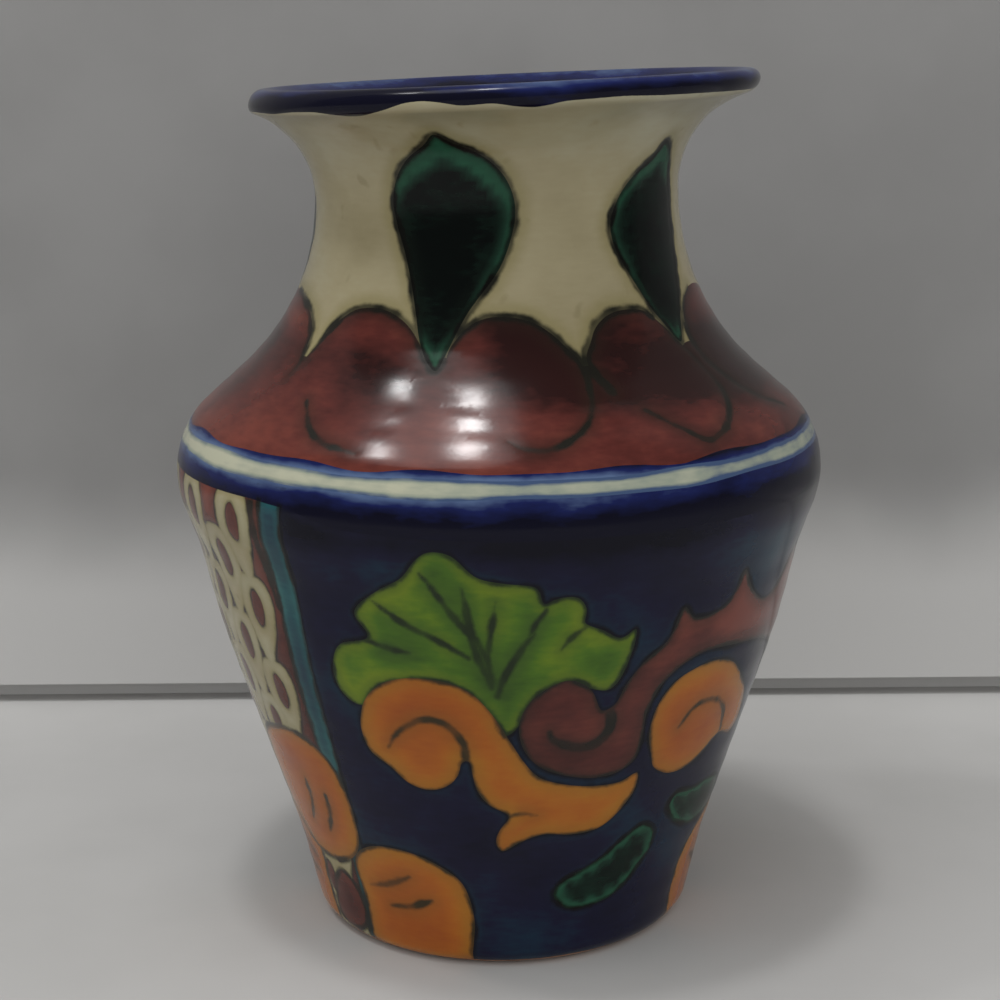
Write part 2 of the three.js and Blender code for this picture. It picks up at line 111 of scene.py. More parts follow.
def rounded(corners):
    points = []
    for i, (radius, height, bend) in enumerate(corners):
        here = np.array([radius, height], float)
        if bend <= 0 or i in (0, len(corners) - 1):
            points.append(here)
            continue
        back = np.array(corners[i - 1][:2]) - here
        on = np.array(corners[i + 1][:2]) - here
        back, on = back / np.linalg.norm(back), on / np.linalg.norm(on)
        turn = math.pi - math.acos(np.clip(back @ on, -1, 1))
        half = (back + on) / np.linalg.norm(back + on)
        middle = here + half * bend / math.cos(turn / 2)
        start = here + back * bend * math.tan(turn / 2) - middle
        way = math.copysign(1, -back[0] * on[1] + back[1] * on[0])
        for step in range(math.ceil(turn / ARC_STEP) + 1):
            angle = way * turn * step / math.ceil(turn / ARC_STEP)
            c, s = math.cos(angle), math.sin(angle)
            points.append(middle + np.array([c * start[0] - s * start[1], s * start[0] + c * start[1]]))
    kept = [points[0]]
    for point in points[1:]:
        if np.linalg.norm(point - kept[-1]) > 1e-3:
            kept.append(point)
    return np.array(kept)


inner = moved_in(outside, [WALL] * (len(outside) - 1))
floor_share = (FLOOR - inner[2][1]) / (inner[3][1] - inner[2][1])
floor_radius = inner[2][0] + floor_share * (inner[3][0] - inner[2][0])
whole = outside + [lip_corner(1)] + inner[:2:-1][1:] + [(floor_radius, FLOOR, FLOOR_ROUND), (0, FLOOR, 0)]


def face(depth):
    return rounded(moved_in(whole, [0] + [depth] * (len(whole) - 2)))


skin = face(0)
lip_top = int(np.argmax(skin[:, 1]))
print("points in the fine profile:", len(skin), "lip at", skin[lip_top].round(1))

# %% [markdown]
# Everything else on this pot is told by two numbers: the turn round the axis, and the run, which is
# how far a brush has travelled along the profile from the foot. Turn 0 is the front and positive
# turns go to the viewer's right. A third number, the lift, is measured square to the wall. The
# potter's hand is put in here once for all pieces: faint throwing rings, soft dents, and the mouth
# that leans to one side because the pot sat down a little in the kiln.

# %% Places on the wall
MOUTH_TILT, MOUTH_SHIFT = math.radians(2), 1.8
LEAN_START, SHIFT_START = 100.0, 142.0
RUN = np.concatenate([[0], np.cumsum(np.hypot(*np.diff(skin, axis=0).T))])
ALONG = np.gradient(skin, RUN, axis=0)
ALONG /= np.linalg.norm(ALONG, axis=1)[:, None]
LIP_RUN = RUN[lip_top]


def run_at(height):
    return np.interp(height, skin[1:lip_top + 1, 1], RUN[1:lip_top + 1]) + np.minimum(height, 0)


def radius_at(run):
    return np.interp(run, RUN, skin[:, 0])


def soft_step(value, start, end):
    share = np.clip((value - start) / (end - start), 0, 1)
    return share * share * (3 - 2 * share)


def leant(points):
    moved = points.copy()
    moved[:, 2] += points[:, 0] * math.tan(MOUTH_TILT) * soft_step(points[:, 2], LEAN_START, HEIGHT)
    moved[:, 0] += MOUTH_SHIFT * soft_step(points[:, 2], SHIFT_START, HEIGHT)
    return moved


def hand(turn, run):
    rings = 0.03 * np.sin(2 * np.pi * run / 5.3 + turn + 1.5 * np.sin(run / 17))
    dents = 0.04 * np.sin(2 * turn + run / 31 + 0.7) + 0.03 * np.sin(3 * turn - run / 23 + 2.1)
    puddles = 0.01 * np.sin(19 * turn + run / 3.1) * np.sin(run / 4.7 - 5 * turn)
    return rings + dents + puddles


def on_wall(turn, run, lift):
    lift = lift + hand(turn, run)
    radius = radius_at(run) + lift * np.interp(run, RUN, ALONG[:, 1])
    height = np.interp(run, RUN, skin[:, 1]) - lift * np.interp(run, RUN, ALONG[:, 0])
    return leant(np.stack([radius * np.sin(turn), -radius * np.cos(turn), height], axis=1))


print("run from foot to lip, mm:", round(float(LIP_RUN), 1))

# %% [markdown]
# The clay pot and its lining are round all through, so they are made as on the wheel: one vertex is
# walked along the profile by extruding it, and the line is spun round the axis. The profile starts
# and ends on the axis, so the spin closes the body. Doubles are merged before the faces are turned
# outwards. The lean and the hand's unevenness are given to the finished points.

# %% Spin a profile round the axis
SPIN_STEPS = 192
DOUBLES = 0.002 * MM


def new_plane(name, size):
    bpy.ops.object.select_all(action="DESELECT")
    bpy.ops.mesh.primitive_plane_add(size=size, location=(0, 0, 0))
    piece = bpy.context.object
    piece.name = piece.data.name = name
    bpy.ops.object.mode_set(mode="EDIT")
    bpy.ops.mesh.select_all(action="SELECT")
    return piece


def spun(name, profile):
    piece = new_plane(name, MM)
    bpy.ops.mesh.merge(type="CENTER")
    bpy.ops.transform.translate(value=(profile[0][0] * MM, 0, profile[0][1] * MM))
    for radial, up in np.diff(profile, axis=0) * MM:
        bpy.ops.mesh.extrude_region_move(TRANSFORM_OT_translate={"value": (radial, 0, up)})
    bpy.ops.mesh.select_all(action="SELECT")
    bpy.ops.mesh.spin(steps=SPIN_STEPS, angle=2 * math.pi, center=(0, 0, 0), axis=(0, 0, 1))
    bpy.ops.mesh.select_all(action="SELECT")
    bpy.ops.mesh.remove_doubles(threshold=DOUBLES)
    bpy.ops.mesh.normals_make_consistent(inside=False)
    bpy.ops.object.mode_set(mode="OBJECT")
    bpy.ops.object.shade_smooth()
    points = np.empty(len(piece.data.vertices) * 3)
    piece.data.vertices.foreach_get("co", points)
    points = leant(points.reshape(-1, 3) / MM) * MM
    piece.data.vertices.foreach_set("co", points.ravel())
    piece.data.update()
    print(name, "faces:", len(piece.data.polygons))
    return piece


# %% [markdown]
# The clay shows only under the foot, where the potter wiped the glaze off so that the vase would not
# stick to the kiln shelf. The trimmed foot has a shallow recess inside its ring. The rest of the
# clay lies half a millimetre under the glaze.

# %% Clay pot and glaze lining
CLAY_DEPTH, LINING_DEPTH = 0.55, 0.42
foot = [(0, FOOT_RECESS, 0), (FOOT_RING - FOOT_RECESS, FOOT_RECESS, 1.2), (FOOT_RING, 0, 0.7)]
clay_corners = moved_in(foot + whole[1:], [0, 0, 0] + [CLAY_DEPTH] * (len(whole) - 2))
clay = spun("clay", rounded(clay_corners))
lining_front = face(LINING_DEPTH)
lining_back = face(CLAY_DEPTH + 0.1)
inside_front = lining_front[int(np.argmax(lining_front[:, 1])):]
inside_back = lining_back[int(np.argmax(lining_back[:, 1])):]
lining = spun("lining", np.concatenate([inside_front[::-1], inside_back]))

# %% [markdown]
# The painting is laid out on the unrolled wall. A painted field is known by its signed distance: how
# many millimetres a place lies inside its outline, with a minus sign outside. That one number tells
# where the field ends, how far the glaze has drawn back from a line and how wide the line is, so
# every helper below works with it. Outlines run smoothly through a few points, each given as the
# distance round the wall from the figure's middle and the height above the table.

# %% Lines drawn by hand
FAR = 6.0
LINE_STEP = 0.7


def wrapped(turn):
    return (turn + np.pi) % (2 * np.pi) - np.pi


def drawn(points, closed=False):
    points = np.array([(x, run_at(z)) for x, z in points], float)
    before, after = 2 * points[:1] - points[1:2], 2 * points[-1:] - points[-2:-1]
    if closed:
        before, after = points[-1:], points[:2]
    chain = np.concatenate([before, points, after])
    line = []
    for a, b, c, d in zip(chain, chain[1:], chain[2:], chain[3:]):
        steps = max(2, math.ceil(np.linalg.norm(c - b) / LINE_STEP))
        gaps = [math.sqrt(np.linalg.norm(step)) for step in (b - a, c - b, d - c)]
        t0, t1, t2, t3 = np.concatenate([[0], np.cumsum(gaps)])
        t = np.linspace(t1, t2, steps, endpoint=False)[:, None]
        ab = (a * (t1 - t) + b * (t - t0)) / (t1 - t0)
        bc = (b * (t2 - t) + c * (t - t1)) / (t2 - t1)
        cd = (c * (t3 - t) + d * (t - t2)) / (t3 - t2)
        abc = (ab * (t2 - t) + bc * (t - t0)) / (t2 - t0)
        bcd = (bc * (t3 - t) + cd * (t - t1)) / (t3 - t1)
        line.extend((abc * (t2 - t) + bcd * (t - t1)) / (t2 - t1))
    line.append(points[0] if closed else points[-1])
    return np.array(line)


def measured(x, y, line):
    nearest = np.full(len(x), np.inf)
    place = np.zeros(len(x))
    inside = np.zeros(len(x), bool)
    for i, ((ax, ay), (bx, by)) in enumerate(zip(line, line[1:])):
        across, up = bx - ax, by - ay
        share = ((x - ax) * across + (y - ay) * up) / max(across * across + up * up, 1e-12)
        share = np.clip(share, 0, 1)
        gap = np.hypot(x - ax - share * across, y - ay - share * up)
        closer = gap < nearest
        nearest[closer] = gap[closer]
        place[closer] = i + share[closer]
        crossed = (ay > y) != (by > y)
        inside ^= crossed & (x < ax + (y - ay) * across / (up if up else 1e-12))
    return nearest, place / (len(line) - 1), inside


# %% [markdown]
# Four kinds of marks make the whole painting: a figure with a closed outline, a ring round the pot,
# an upright panel between two turns, and a brush stroke that thins out towards its ends.

# %% Figures, rings, uprights and strokes
def about(line, at, formula):
    (left, lowest), (right, highest) = line.min(axis=0) - FAR, line.max(axis=0) + FAR

    def signed(turn, run):
        x = radius_at(run) * wrapped(turn - math.radians(at))
        value = np.full(len(x), -FAR)
        near = (x > left) & (x < right) & (run > lowest) & (run < highest)
        value[near] = np.maximum(formula(*measured(x[near], run[near], line)), -FAR)
        return value

    return signed


def softened(line, passes):
    loop = line[:-1]
    for _ in range(passes):
        loop = (np.roll(loop, 1, axis=0) + 2 * loop + np.roll(loop, -1, axis=0)) / 4
    return np.concatenate([loop, loop[:1]])


def figure(at, points, passes=2):
    line = softened(drawn(points, closed=True), passes)
    return about(line, at, lambda gap, place, inside: np.where(inside, gap, -gap))


def stroke(at, points, width, ends):
    def half(place):
        return width / 2 * np.interp(place, [0, 0.25, 0.75, 1], [ends[0], 1, 1, ends[1]])

    return about(drawn(points), at, lambda gap, place, inside: half(place) - gap)


def wavy(turn, size, waves, start):
    return size * (np.sin(waves * turn + start) + 0.6 * np.sin((waves * 2 + 1) * turn + 2.3 * start)) / 1.6


def hand_set(table):
    whole_turn = np.arange(-180, 181)
    angles, heights = np.array(table).T
    brush = np.hanning(7) / np.hanning(7).sum()
    edge = np.interp(np.arange(-190, 191), angles, heights, period=360)
    edge = np.convolve(edge, brush, mode="same")[10:-10]
    return lambda turn: run_at(np.interp(np.degrees(turn), whole_turn, edge))


def ring(low_run, high_run, wave=0.0):
    def signed(turn, run):
        lowest = low_run(turn) if callable(low_run) else low_run
        highest = high_run(turn) if callable(high_run) else high_run + wavy(turn, wave, 6, high_run)
        return np.clip(np.minimum(run - lowest, highest - run), -FAR, FAR)

    return signed


def upright(start, end, low_height, high_height, slant=0.0):
    def signed(turn, run):
        middle, half = math.radians((start + end) / 2), math.radians((end - start) / 2)
        middle = middle + math.radians(slant) * (run - run_at(60)) / 60
        off = radius_at(run) * (half - np.abs(wrapped(turn - middle)))
        return np.minimum(off, np.minimum(run - run_at(low_height), run_at(high_height) - run))

    return signed


print("kinds of marks: figure, stroke, ring, upright")

# %% [markdown]
# The fields are listed in the painter's order, as each was laid up to the outline of those before
# it. Each field also says how its glaze changes over it: a tone below zero is thicker and darker, a
# tone above zero is thinner and lighter. Brush lines are kept in a list of their own, with the number
# of fields that lie over them and, for a line inside a figure, that figure's name.

# %% The painter's list
FOOT_EDGE = 0.9
FIGURE_LINE, ORANGE_LINE = 1.1, 0.8
painting, strokes = [], []


def plain(turn, height, edge):
    return 0 * edge


def soft_range(value, start, full, fading, end):
    return soft_step(value, start, full) * soft_step(-value, -end, -fading)


def lay(name, slot, signed, line=0.0, tone=plain, node=None):
    painting.append({
        "name": name, "slot": slot, "signed": signed, "line": line, "tone": tone, "node": node or name,
    })


def mark(at, points, width, ends, on=None):
    strokes.append({"signed": stroke(at, points, width, ends), "after": len(painting), "on": on})


def varied(points, number, flip=1):
    low_z = min(z for _, z in points)
    turned = []
    for i, (x, z) in enumerate(points):
        grow = 1 + 0.04 * math.sin(2.1 * number + 1.3 * i)
        turned.append((flip * x * grow, low_z + (z - low_z) * (1 + 0.012 * math.sin(number))))
    return turned[::flip]


lay("bare_foot", None, ring(-FAR, run_at(FOOT_EDGE), 0.3))

# %% [markdown]
# Five teardrop leaves hang from the flare. Each was filled with one loaded brush, so the green pooled
# almost black in the middle and stayed clear and green at the tip. A lighter green band along the top
# and one side of each leaf is a painted highlight.

# %% Neck leaves
LEAF_LINE = 1.5
FRONT_LEAF = [
    (0, 142.4), (-1.6, 140.6), (-5.6, 138.2), (-8.4, 134.6), (-9.1, 131.2), (-8.3, 127.6), (-6.8, 123.5),
    (-5.3, 118.9), (-3.8, 113.7), (-2.6, 109.8), (-0.7, 106.6), (1.3, 105), (2.1, 107.4), (3.1, 109.9),
    (4.7, 113.7), (7.1, 117.2), (9.4, 120.5), (10.9, 124.6), (11.8, 129.1), (11.3, 132.5), (9.4, 136.2),
    (6.2, 139), (2.4, 140.6),
]
SIDE_LEAF = [
    (0.2, 139.3), (0.1, 137.7), (-2.5, 135.9), (-5.6, 133.7), (-8.3, 131.1), (-10, 128.4), (-10.8, 125.7),
    (-10.1, 122.4), (-8.6, 119.1), (-7.1, 116.1), (-6.3, 113.7), (-4.7, 111.1), (-3.6, 108.8), (-2.6, 107),
    (0.3, 110.2), (2.5, 112.7), (4.9, 116.5), (6.6, 120.5), (7.4, 124.5), (7.3, 128.6), (6.4, 132.8),
    (4.4, 137),
]
LEAVES = [
    (-15.5, FRONT_LEAF, 1), (54.5, SIDE_LEAF, -1), (128, varied(FRONT_LEAF, 2, -1), -1),
    (200, varied(FRONT_LEAF, 3), 1), (262, varied(SIDE_LEAF, 4, -1), 1),
]


def leaf_tone(at, side):
    def tone(turn, height, edge):
        x = side * radius_at(run_at(height)) * wrapped(turn - math.radians(at))
        # Painted highlight: the light band is wider at the top and along one side; the light tip is the
        # glaze's own.
        clear = 4.2 * soft_step(height, 128, 138) + 1.5 * soft_step(x, 2, 9)
        clear = clear + 2.2 * soft_step(-height, -113, -107)
        return 0.7 - 1.7 * soft_step(edge, clear - 1.6, clear + 1.2)

    return tone


for number, (at, outline, side) in enumerate(LEAVES):
    lay(f"neck_leaf_{number + 1}", "deep_green_glaze", figure(at, outline, 8), LEAF_LINE, leaf_tone(at, side))
print("leaves:", len(LEAVES))

# %% [markdown]
# Petals like tongues stand round the shoulder, two between each pair of leaves. Petals and collar were
# washed with the same red-brown glaze, and only the dark lines tell them apart. So the petals have no
# outline of their own here: each line is a stroke that starts, swells and fades as the brush did.

# %% Shoulder petals
PETALS = {
    1: (2, [
        (-9.3, 108.1), (-7.6, 110.3), (-5.6, 112.1), (-2.9, 113.2), (0.2, 113.3), (3.7, 112.7),
        (6.8, 111.1), (9.9, 108.5), (11.9, 106.6), (13.1, 104.4), (13.5, 101.9), (13.6, 100.3),
        (12.9, 98.3), (11, 96.7), (8.5, 95.5), (5.6, 94.9), (2.4, 95.1), (-0.3, 96.1), (-4, 97.5),
        (-8, 100), (-9.8, 104)]),
    2: (40, [
        (-13.3, 106.5), (-11.2, 109), (-9.7, 110.8), (-7.7, 112.2), (-4.8, 113.2), (-2.1, 113.3),
        (1.1, 112.9), (3, 111.7), (5.4, 109.4), (7.4, 107), (9.1, 104.8), (10.4, 102.4), (11.1, 100.1),
        (9.7, 98), (7.3, 96.2), (3.5, 94.8), (-0.2, 94.2), (-2.5, 95.2), (-5, 96.9), (-8.2, 99), (-12, 102)]),
    3: (75, [
        (-4, 114.9), (-8.3, 113.2), (-11.4, 110.6), (-13.2, 107.9), (-13, 103), (-10, 98.5), (-3, 95.4),
        (5, 95), (11, 97.5), (13.8, 102.5), (12.6, 107.5), (9, 112), (3, 114.6)]),
    9: (281, [
        (0.5, 115), (4.6, 114.5), (11.6, 112.3), (15.7, 109.6), (17.7, 107), (19.2, 104.8), (19.7, 102.5),
        (18, 98), (12, 95.5), (4, 94.6), (-5, 95), (-11, 98), (-13, 103.5), (-10.5, 110), (-5, 114)]),
    10: (324, [
        (-11.1, 104.9), (-9.6, 107.2), (-8.1, 109.6), (-5.6, 112.1), (-2.9, 113.7), (0.2, 114.2),
        (3.7, 113.9), (6.9, 112.6), (9.5, 110.8), (12.8, 107.3), (14.2, 103.5), (14, 99.5), (12.4, 96),
        (10.2, 93.9), (5.1, 94.5), (1.4, 95.4), (-2.1, 97.5), (-4.9, 99.9), (-8.6, 102)]),
}
for number, at in ((4, 109), (5, 146), (6, 182), (7, 216), (8, 247)):
    PETALS[number] = (at, varied(PETALS[1][1], number, 1 if number % 2 else -1))
PETAL_STROKES = {
    1: [(0, 12, 1.5, (0.6, 0.6)), (11, 18, 1.2, (0.9, 0.1))],
    2: [(-1, 8, 1.8, (1, 0.6)), (9, 20, 1.2, (0.6, 1))],
    3: [(0, 7, 1.5, (0.3, 0.6))],
    9: [(0, 7, 1.5, (0.5, 0.1))],
    10: [(0, 10, 1.6, (0.2, 0.8)), (13, 18, 1.0, (0.1, 0.4))],
}
WHOLE_PETAL = [(0, 12, 1.5, (0.5, 0.6)), (11, 17, 1.2, (0.9, 0.1))]


def shoulder_tone(turn, height, edge):
    patchy = 0.35 * np.sin(5 * turn + 0.4 * height) * np.sin(3 * turn - 0.31 * height + 1.1)
    angle = np.degrees(turn)
    right = soft_range(angle, -14, 8, 75, 95)
    low_right = soft_range(angle, 14, 46, 90, 120)
    tops = 0.8 * soft_step(height, 107, 112.5) * (1 - right) + 1.3 * soft_step(height, 106, 110) * low_right
    dark = 0.7 * right * soft_step(height, 97, 104) + 0.5 * low_right
    return 0.4 - 0.85 * soft_step(height, 94, 104) + tops + patchy - dark


for number in sorted(PETALS):
    at, outline = PETALS[number]
    for first, last, width, ends in PETAL_STROKES.get(number, WHOLE_PETAL):
        points = [outline[i % len(outline)] for i in range(first, last)]
        mark(at, points, width, ends)
for number in sorted(PETALS):
    at, outline = PETALS[number]
    lay(f"shoulder_petal_{number}", "maroon_glaze", figure(at, outline), 0, shoulder_tone)
print("fields so far:", len(painting), "strokes:", len(strokes))

# %% [markdown]
# Two flowers stand low on the wall, where a scale panel meets a scroll panel. The foot cuts their
# petals off, because the painter worked past it and wiped the foot clean afterwards.

# %% Flowers
FLOWER_PLACES = [-50, 99]
FLOWER_PARTS = [
    ("centre", "maroon_glaze", [(-4, 8), (0, 14), (4, 11), (4, 4), (0, 2), (-4, 3)]),
    ("petal_top", "orange_glaze", [
        (-15, 25), (-15, 37), (-6, 41), (3, 41), (8, 36.5), (9, 27), (7, 20), (2, 16.5), (-8, 17)]),
    ("petal_right", "orange_glaze", [
        (5.5, 18), (11, 22), (20, 22), (26, 18), (27, 12), (26, 6), (21, -2), (6, -2), (5.5, 10)]),
    ("petal_left", "orange_glaze", [
        (-6, 10), (-6, -2), (-20, -2), (-26, 8), (-26, 15), (-20, 21), (-11, 22), (-6, 17)]),
]
FLOWER_STROKES = [
    ("petal_right", [(7.6, 13.2), (12, 14.6), (16.9, 17)]),
    ("petal_right", [(11.4, 10.2), (15.6, 10.9), (20, 12.8)]),
    ("petal_top", [(-4.5, 23), (-2.5, 27), (-2, 32)]),
    ("petal_top", [(0.5, 22), (2.5, 26), (3, 30)]),
    ("petal_left", [(-9.5, 13), (-13, 14.3), (-17, 16.5)]),
    ("petal_left", [(-10.5, 9.5), (-15, 10), (-19.5, 12)]),
]


def warm_tone(turn, height, edge):
    drift = 0.25 * np.sin(4 * turn + 0.21 * height)
    return 0.7 * (1 - soft_step(edge, 0.6, 3.2)) - 0.45 * soft_step(edge, 2.5, 6) + drift


for number, at in enumerate(FLOWER_PLACES):
    for part, points in FLOWER_STROKES:
        mark(at, points, 1.3, (0.35, 0.35), on=f"flower_{number + 1}_{part}")
    for part, slot, points in FLOWER_PARTS:
        lay(f"flower_{number + 1}_{part}", slot, figure(at, points), FIGURE_LINE, warm_tone)
print("fields so far:", len(painting))

# %% [markdown]
# The scroll panels carry the main figures: a fan-shaped leaf, an orange scroll that curls under it,
# a maroon scroll with a serrated back, a small orange scroll and two loose leaves. The scrolls come
# first, because the fan leaf was filled in up to their outlines. Veins and curls were drawn over the
# figures with a fine brush. The panel at the back repeats the one at the front.

# %% Scroll panels
PANEL_PLACES = {"front": 0, "back": 178}
PANEL_PARTS = [
    ("orange_scroll", "orange_glaze", 0, [
        (-24, 47), (-23, 52), (-20, 55.5), (-15.5, 57.2), (-9, 57), (-5, 55.3), (-1.8, 51.8), (1.3, 46.4),
        (3.7, 42), (6.2, 38.8), (10.4, 37), (15.6, 36), (21, 36), (24, 37.2), (23.5, 33.5), (20.5, 29.8),
        (17, 27.2), (12, 26.6), (7, 27.2), (3, 25.8), (0, 24), (-1, 26), (0, 29), (1.4, 31.2), (-2, 33.4),
        (-4, 36.4), (-4.7, 39.6), (-5.2, 42.2), (-6.4, 42), (-6.9, 39.6), (-8.6, 37.2), (-12, 35.9),
        (-15.5, 36.8), (-19, 39.8), (-22.6, 42.4)]),
    ("maroon_scroll", "maroon_glaze", 25, [
        (4, 48.5), (4, 43.5), (3.3, 40), (0.5, 38), (-4, 37.6), (-9.3, 38.8), (-13.5, 40.7), (-16.3, 43.5),
        (-18, 47.5), (-18, 51), (-16.5, 54), (-14, 56), (-11.3, 57), (-8.5, 56), (-6.5, 54), (-4.6, 50.5),
        (-2.4, 51.5), (-1, 55), (1.6, 58.5), (6, 62), (8.5, 67.5), (10.8, 65), (17.5, 65.5), (20.5, 68),
        (22, 71.5), (25.5, 67), (30.5, 64), (36, 65), (40, 68), (46, 71), (49, 66), (52, 61), (51, 55),
        (45, 52), (38, 54), (32, 56), (22, 57.5), (14, 58), (8.6, 56), (5.6, 53)]),
    ("fan_leaf", "leaf_green_glaze", 0, [
        (1, 47), (-2, 48.5), (-5, 51.5), (-9, 54), (-15.5, 54.5), (-20, 53), (-24, 51), (-28, 54),
        (-28.5, 59), (-27, 62), (-21.5, 64), (-24, 68), (-19.5, 72.5), (-15.5, 75), (-13, 78.5), (-11, 79.8),
        (-7.5, 79.3), (-3.5, 75.5), (0.5, 74.5), (6, 73.5), (7, 70.5), (9, 71.5), (12.5, 71.5), (14, 69),
        (13.5, 67), (16.5, 65.5), (20, 63.5), (22.5, 65), (21, 58.5), (18, 54.4), (13, 55.5), (8, 54.5),
        (4.5, 51)]),
    ("small_scroll", "orange_glaze", 45, [
        (-9, 39.5), (-11, 44), (-11.3, 48), (-10.3, 51.7), (-8, 54), (-3, 55.6), (1, 55.6), (6, 54), (11, 50),
        (17, 44), (18, 39), (15, 37.4), (9, 39.2), (5, 36.7), (1, 35.2), (-4, 35.2), (-8, 37.5)]),
    ("long_leaf", "deep_green_glaze", 22, [
        (-5.6, 15), (-4, 17.5), (-0.7, 19), (3, 21.3), (6.3, 24), (10.3, 26), (13, 24), (13.2, 20.5),
        (11, 17), (8, 13.7), (5, 11.8), (1, 11), (-2.5, 11), (-5, 13)]),
    ("short_leaf", "deep_green_glaze", 50, [
        (-5, 28.5), (-3.5, 30.3), (2, 29.5), (7.5, 29.5), (14, 27.5), (15, 23), (10, 20.8), (4.5, 21.2),
        (-1.5, 23.8)]),
]
PANEL_STROKES = [
    ("fan_leaf", 0, 1.2, (0.3, 0.8), [
        (-12.5, 76), (-9.4, 71.7), (-6.4, 67.4), (-4, 64.8), (-2.5, 62.2), (-1.2, 57)]),
    ("fan_leaf", 0, 1.3, (0.3, 0.8), [(-5.9, 73.6), (-5.2, 69.7), (-4.5, 65.7), (-3.6, 62), (-1.6, 57)]),
    ("fan_leaf", 0, 1.1, (0.3, 0.8), [(-0.6, 71.3), (-1.2, 66.6), (-1.9, 61.3), (-1.3, 56)]),
    ("fan_leaf", 0, 1.2, (0.3, 0.8), [(5.6, 65.6), (2.8, 61.8), (0.6, 57.7), (-0.4, 54.5)]),
    ("fan_leaf", 0, 1.0, (0.2, 0.6), [(-21, 70.8), (-15.2, 66.9), (-8.8, 63.8), (-5, 61.4)]),
    ("fan_leaf", 0, 1.0, (0.7, 0.2), [(-24.6, 63.3), (-21.5, 63.2), (-18.2, 62.3), (-14.5, 61.8)]),
    ("fan_leaf", 0, 0.9, (0.8, 0.2), [(7.4, 69.6), (5.8, 67.4), (4.9, 65.4)]),
    ("fan_leaf", 0, 0.9, (0.8, 0.2), [(13.9, 66.2), (11.6, 64.6), (9.8, 62.6)]),
    ("orange_scroll", 0, 1.3, (0.25, 1.0), [
        (-19, 43.5), (-17.8, 45.8), (-16, 47.8), (-13.8, 49.2), (-11.6, 49.8), (-9.2, 49.2), (-7.6, 47.8),
        (-6.3, 45.9), (-5.7, 43.4), (-5.7, 40.5)]),
    ("orange_scroll", 0, 0.9, (0.6, 0.2), [(1.2, 31.2), (3.6, 31.6), (6, 31.2)]),
    ("maroon_scroll", 25, 2.0, (0.3, 1.0), [
        (-13, 47.4), (-12.2, 45.9), (-10.2, 44.9), (-6.7, 43.9), (-3.7, 45), (-2.6, 47.7), (-3.4, 51.2)]),
    ("small_scroll", 45, 1.1, (0.3, 1.0), [
        (-4.6, 44.3), (-2.2, 47.3), (1.5, 47.9), (4.9, 46.9), (8.3, 43.5), (9.2, 40.1)]),
]


def fan_tone(middle):
    def tone(turn, height, edge):
        x = radius_at(run_at(height)) * wrapped(turn - math.radians(middle)) + 1
        away = np.hypot(x, height - 55)
        fingers = np.sin(7.5 * np.arctan2(x, height - 55) + 0.8)
        spread = 0.95 - 0.9 * soft_step(edge, 0.8, 3.6) + 0.4 * fingers * soft_step(away, 4, 12)
        return spread - 0.7 * soft_step(-away, -12, -4)

    return tone


def loose_tone(turn, height, edge):
    streak = np.sin(60 * turn + 1.1 * height)
    return 1.0 - 1.8 * soft_step(edge, 0.5, 2.6 + 0.9 * streak)


def scroll_tone(turn, height, edge):
    patchy = 0.35 * np.sin(9 * turn + 0.5 * height) * np.sin(0.33 * height)
    return 0.85 * soft_step(height, 56, 66) + 0.15 + patchy


for side, middle in PANEL_PLACES.items():
    for part, at, width, ends, points in PANEL_STROKES:
        mark(middle + at, points, width, ends, on=f"{part}_{side}")
    tones = {
        "fan_leaf": fan_tone(middle), "maroon_scroll": scroll_tone,
        "long_leaf": loose_tone, "short_leaf": loose_tone,
    }
    for part, slot, at, points in PANEL_PARTS:
        line = ORANGE_LINE if slot == "orange_glaze" else FIGURE_LINE
        lay(f"{part}_{side}", slot, figure(middle + at, points), line, tones.get(part, warm_tone))
print("fields so far:", len(painting), "strokes:", len(strokes))

# %% [markdown]
# The bands go right round. The cream line was kept free of colour, so the blue belt brushed over it
# bled up to its edges, and a thin blue line shows above it. The belt was brushed over the tops of the
# panels, and its lower part is darkened into the navy below as painted shade under its bulge. The red
# collar behind the petals rises a little where a leaf's tip hangs over it. The rim's edge dips where
# the brush was full.

# %% Bands
LINE_LOW, LINE_TOP, BLUE_TOP, COLLAR_TOP, RIM_INSIDE = 88.1, 90.9, 91.9, 105.7, 5.0
TIP_OFF, TIP_HALF, TIP_RISE = 1.5, 4, 1.6
LINE_RISE = [
    (-180, 0.3), (-120, 0.3), (-90, 0.5), (-60, 0.5), (-20, 0), (20, 0), (60, 0.4), (90, 0.5), (130, 0.2),
]
RIM_EDGE = [
    (-172, 147.1), (-160, 146), (-148, 146.9), (-137, 145.9), (-124, 147), (-110, 146.2), (-96, 147.1),
    (-84, 146), (-72, 146.1), (-59, 145.8), (-50, 146.2), (-43, 146.2), (-37.7, 145.6), (-34.4, 145.3),
    (-30, 145.4), (-24.6, 146.3), (-20.4, 147.5), (-16.2, 147.7), (-11.9, 147.2), (-8.7, 146.6),
    (-5.7, 146.7), (-1.8, 146.9), (2.4, 146.2), (6.8, 145.8), (9.6, 146.1), (12.3, 146.7), (25, 147),
    (35, 146.7), (47, 146.6), (66, 146.4), (76, 146.4), (88, 147), (101, 145.9), (115, 147.1), (128, 146.2),
    (141, 147), (153, 145.9), (166, 146.8),
]
BELT_EDGE = [
    (-180, 82), (-108, 82.5), (-100, 85), (-44, 85.2), (-35, 84.6), (-26, 82.4), (0, 81.6), (60, 81.8),
    (82, 83.4), (90, 85), (140, 85), (150, 82.6),
]


def clear_of_tips(angle):
    return all(abs(wrapped(math.radians(angle - at - TIP_OFF))) > math.radians(8) for at, _, _ in LEAVES)


